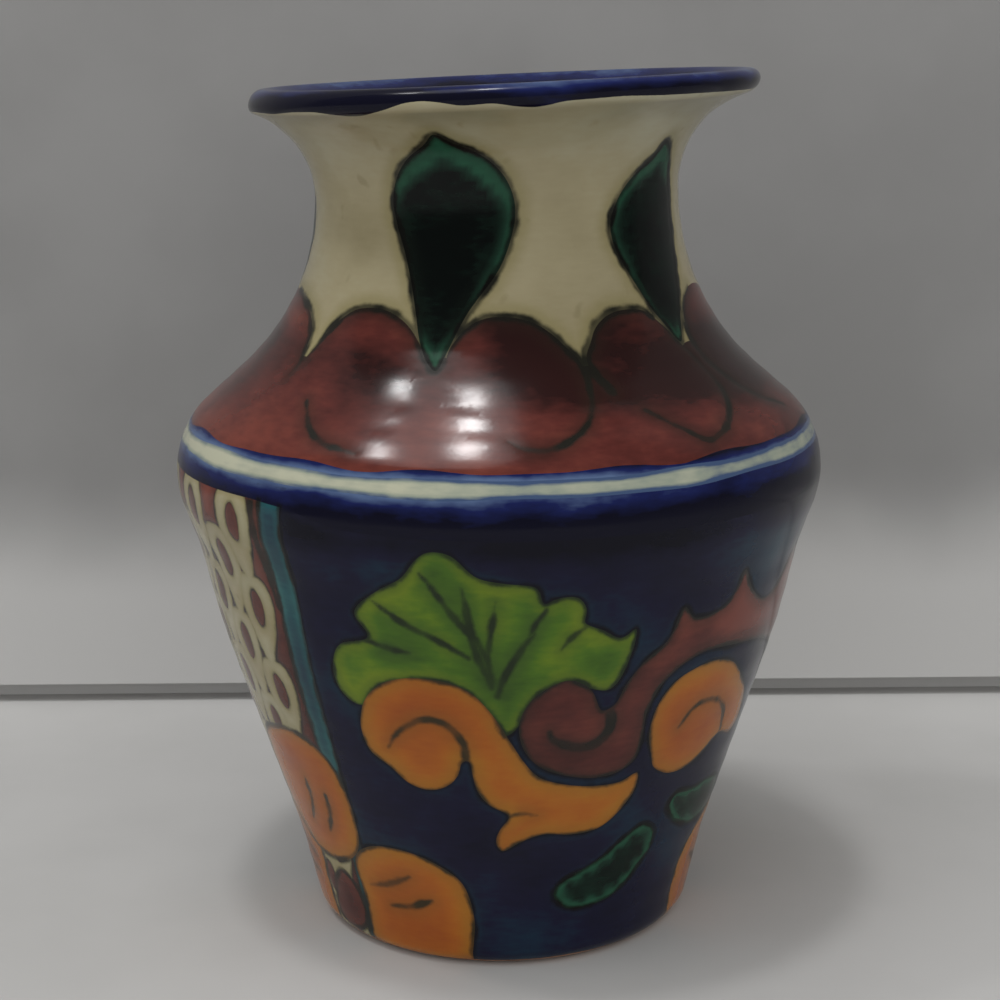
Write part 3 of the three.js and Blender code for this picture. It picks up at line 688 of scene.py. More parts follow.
collar_edge = [(angle, COLLAR_TOP) for angle in range(-180, 180, 20)]
for at, _, _ in LEAVES:
    tip = (at + TIP_OFF + 180) % 360 - 180
    for off, raised in ((-9, 0), (-TIP_HALF, TIP_RISE), (TIP_HALF, TIP_RISE), (9, 0)):
        collar_edge.append((tip + off, COLLAR_TOP + raised))
collar_edge = sorted(point for point in collar_edge if point[1] > COLLAR_TOP or clear_of_tips(point[0]))


def rise(turn):
    return np.interp(np.degrees(turn), *np.array(LINE_RISE).T, period=360)


def risen(base, size=0.15, waves=9):
    table = []
    for angle in range(-180, 180, 4):
        turn = math.radians(angle)
        ripple = math.sin(waves * turn + base) + 0.7 * math.sin((waves + 7) * turn + 1.3 * base)
        table.append((angle, base + rise(turn) + size * ripple))
    return hand_set(table)


def belt_tone(turn, height, edge):
    top = LINE_LOW + rise(turn)
    fringe = soft_step(height, top - 1.6 + 0.5 * np.sin(11 * turn + 1) + 0.4 * np.sin(19 * turn), top + 0.4)
    left = soft_step(-np.abs(np.degrees(turn) + 40), -60, -5)
    right = soft_range(np.degrees(turn), 5, 35, 80, 110)
    blue = (0.45 + 0.75 * left - 0.3 * right) * fringe - 0.4 * right
    # Painted shade: the belt darkens along its lower part, under its bulge.
    return blue - 1.2 * soft_step(-height, -87.3 - 1.2 * left, -84)


def blue_line_tone(turn, height, edge):
    right = soft_range(np.degrees(turn), 10, 35, 80, 110)
    return 1.1 - 0.9 * right - 1.3 * (height - LINE_TOP - rise(turn)) / (BLUE_TOP - LINE_TOP)


def neck_tone(turn, height, edge):
    # Painted shade: a soft dark patch on the left of the neck, below the flare.
    reach = (wrapped(turn + math.radians(46)) / 0.28) ** 2 + ((height - 125) / 5.5) ** 2
    low = 0.55 * soft_step(-height, -120, -106)
    drift = 0.2 * np.sin(2 * turn + 0.08 * height + 0.6)
    return drift - low + 0.3 * soft_step(height, 132, 142) - 0.6 * np.exp(-reach)


def line_tone(turn, height, edge):
    # Painted light and shade: the cream line is lighter on the left, where the light falls, and a little
    # darker on the right.
    side = soft_step(np.abs(wrapped(turn + 0.9)), 1.1, 0.3)
    bled = 1.7 * (1 - soft_step(edge, 0.1, 1.0))
    return 0.1 + 0.9 * side - bled - 0.2 * soft_step(np.degrees(turn), 10, 50)


def rim_tone(turn, height, edge):
    left = soft_step(-np.abs(np.degrees(turn) + 42), -34, -14)
    # Painted shade: the rim darkens towards its lower edge, on its face turned down from the overhead light.
    # It is also darker on the front left.
    return 0.3 * np.sin(5 * turn + 0.5) + 0.2 - 0.9 * left - 1.5 * soft_step(-height, -150.2, -147.4)


line_low, line_top, blue_top = risen(LINE_LOW), risen(LINE_TOP), risen(BLUE_TOP, 0.3, 13)
belt_low, rim_low, collar_top = hand_set(BELT_EDGE), hand_set(RIM_EDGE), hand_set(collar_edge)
lay("rim_band", "cobalt_glaze", ring(rim_low, LIP_RUN + RIM_INSIDE, 0.5), 0, rim_tone)
lay("thin_blue_line", "cobalt_glaze", ring(line_top, blue_top), 0, blue_line_tone, "shoulder_collar")
lay("shoulder_collar", "brick_glaze", ring(line_top, collar_top), 0, shoulder_tone)
lay("cream_line", "cream_glaze", ring(line_low, line_top), 0, line_tone)
lay("blue_belt", "cobalt_glaze", ring(belt_low, line_low), 0, belt_tone)
print("fields so far:", len(painting))

# %% [markdown]
# Turquoise stripes part the scroll panels from the cream panels. Those are covered with scales like
# drops, each with a maroon eye, set in staggered columns, and maroon fills the gaps between them.
# Beside both stripes of the front scroll panel a dark stroke runs down from the belt.

# %% Stripes and scale panels
STRIPE_PLACES = [-40, 90, 140, -98]
SCALE_PANELS = [(-98, -40), (90, 140)]
UPRIGHT_LOW, UPRIGHT_TOP = -5, 87
STRIPE_HALF, STRIPE_SLANT = 2.4, 0.8
SCALE_TOP, SCALE_TURN, SCALE_ROW, SCALE_ROWS = 86.6, 7.6, 15.4, 6
EYE_LINE, SCALE_LINE = 0.3, 0.5
SCALE_SIDE = [(0, 0), (3.6, -0.8), (5, -4), (4.5, -8.5), (2.9, -12.5), (1.2, -16.5), (0, -18.6)]
SCALE = SCALE_SIDE + [(-x, z) for x, z in SCALE_SIDE[-2:0:-1]]
EYE = [(0, -2.7), (1.5, -4.2), (1.8, -6.5), (1.2, -8.9), (0, -9.8), (-1.3, -8.6), (-1.7, -6), (-1.3, -3.8)]


def any_of(marks, within):
    def signed(turn, run):
        reach = np.full(len(turn), -FAR)
        for inner in marks:
            reach = np.maximum(reach, inner(turn, run))
        return np.minimum(reach, within(turn, run))

    return signed


def eye_tone(turn, height, edge):
    return 0.9 - 0.6 * soft_step(edge, 0.3, 1.2)


def scale_tone(turn, height, edge):
    # Painted shade: the cream of the scales is made darker overall.
    return 0.5 * soft_step(edge, 0.2, 0.9) - 0.3 + 0.3 * np.sin(0.5 * height + 9 * turn)


def stripe_tone(turn, height, edge):
    return 0.35 - 0.7 * soft_step(edge, 0.6, 2.0) + 0.4 * np.sin(0.23 * height + 2 * turn)


for number, at in enumerate(STRIPE_PLACES):
    stripe = upright(at - STRIPE_HALF, at + STRIPE_HALF, UPRIGHT_LOW, UPRIGHT_TOP, STRIPE_SLANT)
    lay(f"turquoise_stripe_{number + 1}", "turquoise_glaze", stripe, FIGURE_LINE, stripe_tone)
for at, flip in ((-43.6, 1), (93.4, -1)):
    mark(at, [(-0.9 * flip, 87), (-0.3 * flip, 81), (0.2 * flip, 74), (0.4 * flip, 66)], 1.9, (1, 0.2))
for number, (start, end) in enumerate(SCALE_PANELS):
    panel, drops, eyes = upright(start, end, UPRIGHT_LOW, UPRIGHT_TOP), [], []
    columns = round((end - start - 5) / SCALE_TURN)
    for column in range(columns + 1):
        at = end - 9.6 - SCALE_TURN * column if number == 0 else start + 7 + SCALE_TURN * column
        for row in range(SCALE_ROWS):
            top = SCALE_TOP - SCALE_ROW * (row + 0.5 * (column % 2))
            narrow = 0.78 + 0.22 * (top - 5) / 80
            sway = 0.4 * math.sin(3.1 * row + 1.7 * column)
            for kept, outline in ((drops, SCALE), (eyes, EYE)):
                kept.append(figure(at, [(narrow * x + sway, top + z) for x, z in outline]))
    node = f"scale_panel_{number + 1}"
    lay(f"scale_eyes_{number + 1}", "maroon_glaze", any_of(eyes, panel), EYE_LINE, eye_tone, node)
    lay(node, "cream_glaze", any_of(drops, panel), SCALE_LINE, scale_tone)
    lay(f"scale_gaps_{number + 1}", "maroon_glaze", panel, 0, scroll_tone, node)
print("fields so far:", len(painting))

# %% [markdown]
# The two grounds were filled last, cream on the neck and navy round the figures, with the brush kept
# just clear of every line. So the navy is thin and a little teal beside the figures.

# %% Grounds
def navy_tone(turn, height, edge):
    beside = 0.3 * (1 - soft_step(edge, 0.4, 1.8))
    halo = 0
    for at in PANEL_PLACES.values():
        off = wrapped(turn - math.radians(at + 56)) / 0.2
        halo = halo + np.exp(-off ** 2 - ((height - 72) / 7) ** 2)
    # Painted shade: the navy darkens towards its top, under the bulge of the belt.
    return beside + 0.7 * halo - 1.2 * soft_step(height, 76, 82) + 0.25 * np.sin(5 * turn + 0.2 * height)


lay("neck_ground", "cream_glaze", ring(collar_top, rim_low), 0, neck_tone)
for side, start, end in (("front", -41, 91), ("back", 139, 263)):
    lay(f"navy_ground_{side}", "navy_glaze", upright(start, end, UPRIGHT_LOW, UPRIGHT_TOP), 0, navy_tone)
print("fields in all:", len(painting), "strokes in all:", len(strokes))

# %% [markdown]
# Now the wall is cut up like a stencil. It starts as an even net of triangles over turn and run, with
# closer rows where the lip and the foot bend. Near every painted line the triangles are split twice,
# so that edges and lines stay crisp while the plain fields stay light.

# %% A net over the wall, finer near the lines
NET_STEP, NET_TURN = 1.6, math.radians(7)
COLUMNS = 240
NET_LOW, NET_INSIDE = 0.6, 8.0
SPLIT_REACHES = (1.5, 0.9)
ROUND_A_TRIANGLE = ([0, 1, 2], [1, 2, 0], [2, 0, 1])
even_runs = np.linspace(float(run_at(NET_LOW)), LIP_RUN + NET_INSIDE, 4000)
outward, upward = (np.interp(even_runs, RUN, side) for side in ALONG.T)
direction = np.unwrap(np.arctan2(upward, outward))
bend = np.abs(np.gradient(direction, even_runs))
effort = np.concatenate([[0], np.cumsum(np.maximum(1 / NET_STEP, bend / NET_TURN)[1:] * np.diff(even_runs))])
rows = np.interp(np.linspace(0, effort[-1], math.ceil(effort[-1]) + 1), effort, even_runs)
turns = np.linspace(-math.pi, math.pi, COLUMNS + 1)
grid_turn, grid_run = np.meshgrid(turns, rows)
corner = np.arange(grid_turn.size).reshape(grid_turn.shape)
a, b, c, d = (part.ravel() for part in (corner[:-1, :-1], corner[:-1, 1:], corner[1:, 1:], corner[1:, :-1]))
net = np.concatenate([np.stack([a, b, c], axis=1), np.stack([a, c, d], axis=1)])
places = np.stack([grid_turn.ravel(), grid_run.ravel()], axis=1)


def signs(places):
    marks = [field["signed"] for field in painting] + [line["signed"] for line in strokes]
    return np.stack([signed(places[:, 0], places[:, 1]) for signed in marks], axis=1)


def covers(values):
    covered = [np.full(len(values), -FAR)]
    for column in range(len(painting)):
        covered.append(np.maximum(covered[-1], values[:, column]))
    return np.stack(covered, axis=1)


def sides_of(net):
    return np.concatenate([net[:, [0, 1]], net[:, [1, 2]], net[:, [2, 0]]])


def edges_of(net):
    edges, which = np.unique(np.sort(sides_of(net), axis=1), axis=0, return_inverse=True)
    return edges, which.reshape(3, -1).T


def split_near(places, values, net, reach):
    edges, which = edges_of(net)
    gap = np.maximum(np.abs(values[:, :len(painting)]), covers(values)[:, :-1]).min(axis=1)
    gap = np.minimum(gap, np.abs(values[:, len(painting):]).min(axis=1))
    marked = gap[edges].min(axis=1) < reach
    added = places[edges[marked]].mean(axis=1)
    number = np.where(marked, len(places) + np.cumsum(marked) - 1, -1)[which]
    count = (number >= 0).sum(axis=1)
    parts = [net[count == 0]]
    (a, b, c), (ab, bc, ca) = net[count == 3].T, number[count == 3].T
    parts += [np.stack(trio, axis=1) for trio in ((a, ab, ca), (ab, b, bc), (ca, bc, c), (ab, bc, ca))]
    for order in ROUND_A_TRIANGLE:
        single = (count == 1) & (number[:, order[0]] >= 0)
        (a, b, c), ab = net[single][:, order].T, number[single][:, order[0]]
        parts += [np.stack(trio, axis=1) for trio in ((a, ab, c), (ab, b, c))]
        double = (count == 2) & (number[:, order[2]] < 0)
        (a, b, c), (ab, bc, _) = net[double][:, order].T, number[double][:, order].T
        parts += [np.stack(trio, axis=1) for trio in ((ab, b, bc), (a, ab, bc), (a, bc, c))]
    return np.concatenate([places, added]), np.concatenate([values, signs(added)]), np.concatenate(parts)


values = signs(places)
for reach in SPLIT_REACHES:
    places, values, net = split_near(places, values, net, reach)
print("rows:", len(rows), "triangles in the net:", len(net))

# %% [markdown]
# Each field in turn is cut out of what is left of the net. A triangle that a line crosses is divided
# on the line, so neighbouring fields meet exactly and no clay shows between them.

# %% Cut the fields out of the net
SNAP = 0.02
owner = np.full(len(net), -1)


def cut(places, values, net, owner, column):
    level_gap = values[:, column].copy()
    level_gap[np.abs(level_gap) < SNAP] = 0
    sign = np.sign(level_gap)[net]
    free = owner == -1
    crossed = free & (sign.min(axis=1) < 0) & (sign.max(axis=1) > 0)
    inner = free & ~crossed & (sign.max(axis=1) > 0)
    owner[inner] = column
    edges, which = edges_of(net[crossed])
    ends = np.sign(level_gap)[edges]
    open_edge = ends[:, 0] * ends[:, 1] < 0
    first, last = edges[open_edge].T
    share = (level_gap[first] / (level_gap[first] - level_gap[last]))[:, None]
    added = places[first] + share * (places[last] - places[first])
    added_values = values[first] + share * (values[last] - values[first])
    added_values[:, column] = 0
    number = np.where(open_edge, len(places) + np.cumsum(open_edge) - 1, -1)[which]
    trio, trio_sign = net[crossed], sign[crossed]
    parts, owners = [net[~crossed]], [owner[~crossed]]
    for order in ROUND_A_TRIANGLE:
        a, b, c = trio[:, order].T
        ab, bc, ca = number[:, order].T
        sa, sb, sc = trio_sign[:, order].T
        through = sa == 0
        lone = (sa != 0) & (sb != sa) & (sc != sa) & (sb * sc != 0)
        for chosen, corners, side in (
            (through, (a, b, bc), sb), (through, (a, bc, c), sc),
            (lone, (a, ab, ca), sa), (lone, (ab, b, c), sb), (lone, (ab, c, ca), sb),
        ):
            parts.append(np.stack(corners, axis=1)[chosen])
            owners.append(np.where(side[chosen] > 0, column, -1))
    places = np.concatenate([places, added])
    values = np.concatenate([values, added_values])
    return places, values, np.concatenate(parts), np.concatenate(owners)


for column in range(len(painting)):
    places, values, net, owner = cut(places, values, net, owner, column)
print("places:", len(places), "triangles:", len(net), "left over:", int((owner == -1).sum()))

# %% [markdown]
# A coat of glaze is a few tenths of a millimetre thick. It swells a little in the middle of a field
# and draws back along the painted lines, which carry little glaze. Each field becomes a closed piece:
# its face on the glaze surface, its back sunk in the clay and a narrow wall round its edge. Three
# numbers are kept at every point for the finishes: ink, edge and tone.

# %% Painted lines, and the lift of the glaze
LIFT, PUFF, PUFF_REACH, GROOVE, BACK = -0.24, 0.04, 1.2, 0.01, -0.7
INSIDE_DROP, LINE_SWELL, STROKE_SHAKE = 0.12, 0.25, 0.12
hidden = covers(values)
names = [field["name"] for field in painting]
turn, run = places.T
height = np.interp(run, RUN, skin[:, 1])
flat_x, flat_y, flat_z = on_wall(turn, run, 0 * run).T
unsteady = np.sin(0.8 * flat_x + 1.7 * np.sin(0.5 * flat_z)) * np.cos(0.7 * flat_y + 0.9 * flat_z)
ink = np.full(len(places), -FAR)
for column, field in enumerate(painting):
    if field["line"]:
        half = field["line"] / 2 * (1 + LINE_SWELL * unsteady)
        ink = np.maximum(ink, half - np.maximum(np.abs(values[:, column]), hidden[:, column]))
for column, line in enumerate(strokes, start=len(painting)):
    reach = np.minimum(values[:, column] + STROKE_SHAKE * unsteady, -hidden[:, line["after"]])
    if line["on"]:
        reach = np.minimum(reach, values[:, names.index(line["on"])])
    ink = np.maximum(ink, reach)
clear = np.maximum(-ink, 0)
groove = np.clip(0.5 + ink / 0.6, 0, 1)
inside_rim = np.clip((run - LIP_RUN) / RIM_INSIDE, 0, 1)
lift = LIFT + PUFF * (1 - np.exp(-clear / PUFF_REACH)) - GROOVE * groove - INSIDE_DROP * inside_rim
face_points = on_wall(turn, run, lift) * MM
back_points = on_wall(turn, run, np.full(len(run), BACK)) * MM
print("strokes:", len(strokes), "share of the wall under lines:", round(float((ink > 0).mean()), 3))


# %% The coats as closed pieces
def remember(mesh, **numbers):
    for key, values_of in numbers.items():
        layer = mesh.attributes.new(key, "FLOAT", "POINT")
        layer.data.foreach_set("value", np.asarray(values_of, np.float32))


SHARP = math.radians(50)


def coat(column):
    field = painting[column]
    trios = net[owner == column]
    used, local = np.unique(trios, return_inverse=True)
    seam = np.stack([np.where(turn[used] > math.pi - 1e-9, -math.pi, turn[used]), run[used]], axis=1)
    _, kept, merged = np.unique(np.round(seam, 6), axis=0, return_index=True, return_inverse=True)
    local = merged.ravel()[local.ravel()].reshape(-1, 3)
    a, b, c = local.T
    local = local[(a != b) & (b != c) & (c != a)]
    used = used[kept]
    size = len(used)
    edges = sides_of(local)
    codes, reverse = edges @ [size, 1], edges @ [1, size]
    a, b = edges[~np.isin(codes, reverse)].T
    wall = np.concatenate([np.stack([b, a, a + size], axis=1), np.stack([b, a + size, b + size], axis=1)])
    faces = np.concatenate([local, local[:, ::-1] + size, wall])
    mesh = bpy.data.meshes.new(field["name"])
    mesh.vertices.add(2 * size)
    mesh.vertices.foreach_set("co", np.concatenate([face_points[used], back_points[used]]).ravel())
    mesh.loops.add(faces.size)
    mesh.loops.foreach_set("vertex_index", faces.ravel().astype(np.int32))
    mesh.polygons.add(len(faces))
    mesh.polygons.foreach_set("loop_start", np.arange(0, faces.size, 3, dtype=np.int32))
    mesh.update(calc_edges=True)
    edge = np.minimum(values[used, column], -hidden[used, column])
    tone = field["tone"](turn[used], height[used], edge)
    remember(mesh, ink=np.tile(ink[used], 2), edge=np.tile(edge, 2), tone=np.tile(tone, 2))
    piece = bpy.data.objects.new("coat_" + field["name"], mesh)
    bpy.context.scene.collection.objects.link(piece)
    bpy.ops.object.select_all(action="DESELECT")
    piece.select_set(True)
    bpy.context.view_layer.objects.active = piece
    bpy.ops.object.shade_smooth_by_angle(angle=SHARP)
    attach(piece, "root")
    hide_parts(field["node"])
    return piece


coats = {field["name"]: coat(column) for column, field in enumerate(painting) if field["slot"]}
faces = {name: len(piece.data.polygons) for name, piece in coats.items()}
largest = max(faces, key=faces.get)
print("coats:", len(coats), "triangles:", sum(faces.values()), "most:", largest, faces[largest])
for piece in (clay, lining):
    count = len(piece.data.vertices)
    remember(piece.data, ink=np.full(count, -FAR), edge=np.full(count, FAR), tone=np.zeros(count))
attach(clay, "root")
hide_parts("clay_body")
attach(lining, "root")
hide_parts("lining_glaze")

# %% [markdown]
# The glazes are all of one family: a clear glossy glass that carries the colour, thin in some places
# and pooled in others. So their shared behaviour is built once, as three node groups, and each glaze
# places them with its own three colours: thin, body and deep. Short helpers wire up the nodes.

# %% Helpers for materials and node groups
def new_finish(name):
    material = bpy.data.materials.new(name)
    material.use_nodes = True
    return material, material.node_tree, material.node_tree.nodes["Principled BSDF"]


def new_group(name, inputs, outputs):
    group = bpy.data.node_groups.new(name, "ShaderNodeTree")
    for socket, kind, value in inputs:
        made = group.interface.new_socket(socket, in_out="INPUT", socket_type="NodeSocket" + kind)
        made.default_value = value
    for socket, kind in outputs:
        group.interface.new_socket(socket, in_out="OUTPUT", socket_type="NodeSocket" + kind)
    return group, group.nodes.new("NodeGroupInput").outputs, group.nodes.new("NodeGroupOutput").inputs


def feed(tree, socket, source):
    if isinstance(source, bpy.types.NodeSocket):
        tree.links.new(source, socket)
    else:
        socket.default_value = source


def maths(tree, operation, first, second, clamp=False):
    node = tree.nodes.new("ShaderNodeMath")
    node.operation, node.use_clamp = operation, clamp
    feed(tree, node.inputs[0], first)
    feed(tree, node.inputs[1], second)
    return node.outputs[0]


def times(tree, first, second):
    return maths(tree, "MULTIPLY", first, second)


def plus(tree, first, *others):
    for other in others:
        first = maths(tree, "ADD", first, other)
    return first


def swing(tree, noise, size):
    return times(tree, maths(tree, "SUBTRACT", noise, 0.5), size)


def mixed(tree, share, first, second):
    node = tree.nodes.new("ShaderNodeMix")
    node.data_type = "RGBA"
    for index, source in ((0, share), (6, first), (7, second)):
        feed(tree, node.inputs[index], source)
    return node.outputs[2]


def stepped(tree, value, start, end, low=0.0, high=1.0):
    node = tree.nodes.new("ShaderNodeMapRange")
    node.interpolation_type = "SMOOTHSTEP"
    for index, source in enumerate((value, start, end, low, high)):
        feed(tree, node.inputs[index], source)
    return node.outputs[0]


def cloudy(tree, size_mm, detail, squash=(1, 1, 1)):
    place = tree.nodes.new("ShaderNodeTexCoord")
    mapping = tree.nodes.new("ShaderNodeMapping")
    mapping.inputs["Scale"].default_value = squash
    noise = tree.nodes.new("ShaderNodeTexNoise")
    noise.inputs["Scale"].default_value = 1000 / size_mm
    noise.inputs["Detail"].default_value = detail
    tree.links.new(place.outputs["Object"], mapping.inputs["Vector"])
    tree.links.new(mapping.outputs[0], noise.inputs["Vector"])
    return noise.outputs[0]


# %% [markdown]
# The first group gives the colour. A cloudy noise stands for the glaze running while it melted, and
# one that is drawn out round the pot stands for the brush. Both push the tone that each field wrote
# on its points. Near a field's edge the glaze may pool or thin, and small specks darken it here and
# there.

# %% Node group: colour of a brushed glaze
brushed, given, out = new_group("brushed_glaze", [
    ("Thin", "Color", (1, 1, 1, 1)), ("Body", "Color", (0.5, 0.5, 0.5, 1)), ("Deep", "Color", (0, 0, 0, 1)),
    ("Tone", "Float", 0.0), ("Edge", "Float", 5.0), ("Pooling", "Float", 0.2), ("Mottle", "Float", 0.8),
    ("Specks", "Float", 0.1),
], [("Color", "Color"), ("Cloud", "Float")])
cloud = cloudy(brushed, 9, 3.0)
brush = cloudy(brushed, 3.2, 2.0, (1, 1, 3.4))
drift = plus(brushed, swing(brushed, cloud, 2.2), swing(brushed, brush, 1.1))
speck = times(brushed, stepped(brushed, cloudy(brushed, 4.0, 1.0), 0.68, 0.8), given["Specks"])
pooled = times(brushed, stepped(brushed, given["Edge"], 0.2, 2.0, 1.0, 0.0), given["Pooling"])
told = plus(brushed, given["Tone"], times(brushed, drift, given["Mottle"]))
told = maths(brushed, "SUBTRACT", told, plus(brushed, pooled, speck))
darker = maths(brushed, "MULTIPLY", told, -1.0, clamp=True)
lighter = maths(brushed, "MULTIPLY", told, 1.0, clamp=True)
coloured = mixed(brushed, darker, mixed(brushed, lighter, given["Body"], given["Thin"]), given["Deep"])
brushed.links.new(coloured, out["Color"])
brushed.links.new(cloud, out["Cloud"])
print("nodes in brushed_glaze:", len(brushed.nodes))

# %% [markdown]
# The second group draws the painted lines from the ink distance, in millimetres inside the line. Two
# noises shake its edge and thin its colour, and the line stains the glaze beside it a little.

# %% Node group: painted lines
lined, given, out = new_group("painted_line", [
    ("Color", "Color", (0.5, 0.5, 0.5, 1)), ("Line", "Color", (0.01, 0.01, 0.01, 1)),
    ("Stain", "Color", (0.2, 0.2, 0.1, 1)),
    ("Ink", "Float", -5.0), ("Softness", "Float", 0.3), ("Staining", "Float", 0.3),
], [("Color", "Color"), ("Line", "Float")])
shake, swell = cloudy(lined, 1.3, 2.0), cloudy(lined, 4.5, 1.0)
shaken = plus(lined, given["Ink"], swing(lined, shake, 0.55), swing(lined, swell, 0.7))
soft = times(lined, given["Softness"], -1.0)
drawn_share = stepped(lined, shaken, soft, given["Softness"])
worn = stepped(lined, swell, 0.3, 0.62, 0.72, 1.0)
share = times(lined, drawn_share, worn)
stained = times(lined, stepped(lined, shaken, -3.0, 0.2), given["Staining"])
coloured = mixed(lined, share, mixed(lined, stained, given["Color"], given["Stain"]), given["Line"])
lined.links.new(coloured, out["Color"])
lined.links.new(share, out["Line"])
print("nodes in painted_line:", len(lined.nodes))

# %% [markdown]
# The third group is the skin of the glass: a slow swell and a fine orange peel, both very shallow. It
# gives a normal and a roughness, a little duller where the cloud and the painted lines are.

# %% Node group: skin of the glaze
skin_group, given, out = new_group("glaze_skin", [
    ("Cloud", "Float", 0.5), ("Line", "Float", 0.0), ("Roughness", "Float", 0.12), ("Relief", "Float", 0.3),
], [("Normal", "Vector"), ("Roughness", "Float")])
slow, peel = cloudy(skin_group, 9, 1.0), cloudy(skin_group, 1.1, 2.0)
sunk = times(skin_group, given["Line"], -0.1)
relief = plus(skin_group, times(skin_group, slow, 0.4), times(skin_group, peel, 0.14), sunk)
bump = skin_group.nodes.new("ShaderNodeBump")
bump.inputs["Distance"].default_value = 0.00012
skin_group.links.new(given["Relief"], bump.inputs["Strength"])
skin_group.links.new(relief, bump.inputs["Height"])
dulled = [times(skin_group, given[name], 0.08) for name in ("Cloud", "Line")]
rough = plus(skin_group, given["Roughness"], *dulled)
skin_group.links.new(bump.outputs[0], out["Normal"])
skin_group.links.new(rough, out["Roughness"])
print("nodes in glaze_skin:", len(skin_group.nodes))

# %% [markdown]
# Each glaze then gets its palette: thin, body and deep colour, the colour of the lines drawn on it and
# of the stain beside them, and how much it pools, mottles and stains. The collar takes the maroon of
# the petals, and the dark glazes mirror a little less. The Principled shader stays in the material,
# with its constant values on its own sockets.

# %% Glazes
PALETTE = {
    "cream_glaze": [
        (0.42, 0.405, 0.29), (0.33, 0.288, 0.175), (0.22, 0.185, 0.10),
        (0.012, 0.012, 0.007), (0.20, 0.17, 0.06), -0.1, 0.35, 0.55],
    "bled_cream": [
        (0.40, 0.40, 0.30), (0.25, 0.28, 0.225), (0.045, 0.075, 0.15),
        (0.01, 0.012, 0.01), (0.2, 0.2, 0.15), 0.0, 0.9, 0.2],
    "cobalt_glaze": [
        (0.075, 0.115, 0.215), (0.009, 0.014, 0.075), (0.004, 0.004, 0.012),
        (0.004, 0.004, 0.007), (0.01, 0.01, 0.05), 0.0, 0.75, 0.2],
    "navy_glaze": [
        (0.010, 0.036, 0.060), (0.0085, 0.0085, 0.027), (0.004, 0.004, 0.009),
        (0.005, 0.005, 0.008), (0.008, 0.01, 0.02), 0.0, 0.6, 0.3],
    "maroon_glaze": [
        (0.16, 0.038, 0.025), (0.082, 0.018, 0.014), (0.020, 0.0055, 0.005),
        (0.010, 0.009, 0.006), (0.025, 0.012, 0.008), 0.1, 0.8, 0.45],
    "orange_glaze": [
        (0.40, 0.155, 0.014), (0.35, 0.098, 0.010), (0.26, 0.055, 0.008),
        (0.03, 0.02, 0.006), (0.18, 0.075, 0.01), 0.0, 0.6, 0.4],
    "leaf_green_glaze": [
        (0.15, 0.215, 0.010), (0.060, 0.135, 0.009), (0.022, 0.060, 0.007),
        (0.010, 0.02, 0.005), (0.035, 0.07, 0.01), 0.0, 0.8, 0.45],
    "deep_green_glaze": [
        (0.022, 0.105, 0.058), (0.009, 0.036, 0.022), (0.002, 0.0035, 0.003),
        (0.004, 0.004, 0.003), (0.008, 0.014, 0.009), 0.0, 0.45, 0.3],
    "turquoise_glaze": [
        (0.030, 0.145, 0.145), (0.012, 0.072, 0.088), (0.007, 0.025, 0.05),
        (0.008, 0.01, 0.008), (0.015, 0.035, 0.035), 0.0, 0.7, 0.3],
}
PALETTE["brick_glaze"] = PALETTE["maroon_glaze"]
DARK_GLAZES = ["cobalt_glaze", "navy_glaze", "deep_green_glaze"]
MIRROR_INDEX, DARK_MIRROR_INDEX = 1.38, 1.27
LINE_SOFTNESS, GLAZE_ROUGHNESS, GLAZE_RELIEF = 0.42, 0.13, 0.3
SPECKS, CREAM_SPECKS = 0.1, 0.5


def placed(tree, group, **inputs):
    node = tree.nodes.new("ShaderNodeGroup")
    node.node_tree = group
    for name, source in inputs.items():
        feed(tree, node.inputs[name], source)
    return node


def written(tree, key):
    node = tree.nodes.new("ShaderNodeAttribute")
    node.attribute_name = key
    return node.outputs["Fac"]


def glaze(slot):
    thin, body, deep, line, stain, pooling, mottle, staining = PALETTE[slot]
    material, tree, shader = new_finish(slot)
    shader.inputs["IOR"].default_value = DARK_MIRROR_INDEX if slot in DARK_GLAZES else MIRROR_INDEX
    specks = CREAM_SPECKS if slot == "cream_glaze" else SPECKS
    wash = placed(
        tree, brushed, Thin=(*thin, 1), Body=(*body, 1), Deep=(*deep, 1), Tone=written(tree, "tone"),
        Edge=written(tree, "edge"), Pooling=pooling, Mottle=mottle, Specks=specks)
    drawing = placed(
        tree, lined, Color=wash.outputs["Color"], Line=(*line, 1), Stain=(*stain, 1),
        Ink=written(tree, "ink"), Softness=LINE_SOFTNESS, Staining=staining)
    glass = placed(
        tree, skin_group, Cloud=wash.outputs["Cloud"], Line=drawing.outputs["Line"],
        Roughness=GLAZE_ROUGHNESS, Relief=GLAZE_RELIEF)
    tree.links.new(drawing.outputs["Color"], shader.inputs["Base Color"])
    tree.links.new(glass.outputs["Roughness"], shader.inputs["Roughness"])
    tree.links.new(glass.outputs["Normal"], shader.inputs["Normal"])
    return material


glazes = {slot: glaze(slot) for slot in PALETTE}
for field in painting:
    if field["slot"]:
        finish = "bled_cream" if field["name"] == "cream_line" else field["slot"]
        coats[field["name"]].data.materials.append(glazes[finish])
lining.data.materials.append(glazes["cream_glaze"])
print("glazes:", len(glazes))

# %% [markdown]
# The clay is plain red-brown earthenware, dry and a little sandy. It is dull all over, so only its
# colour and its fine grain change.

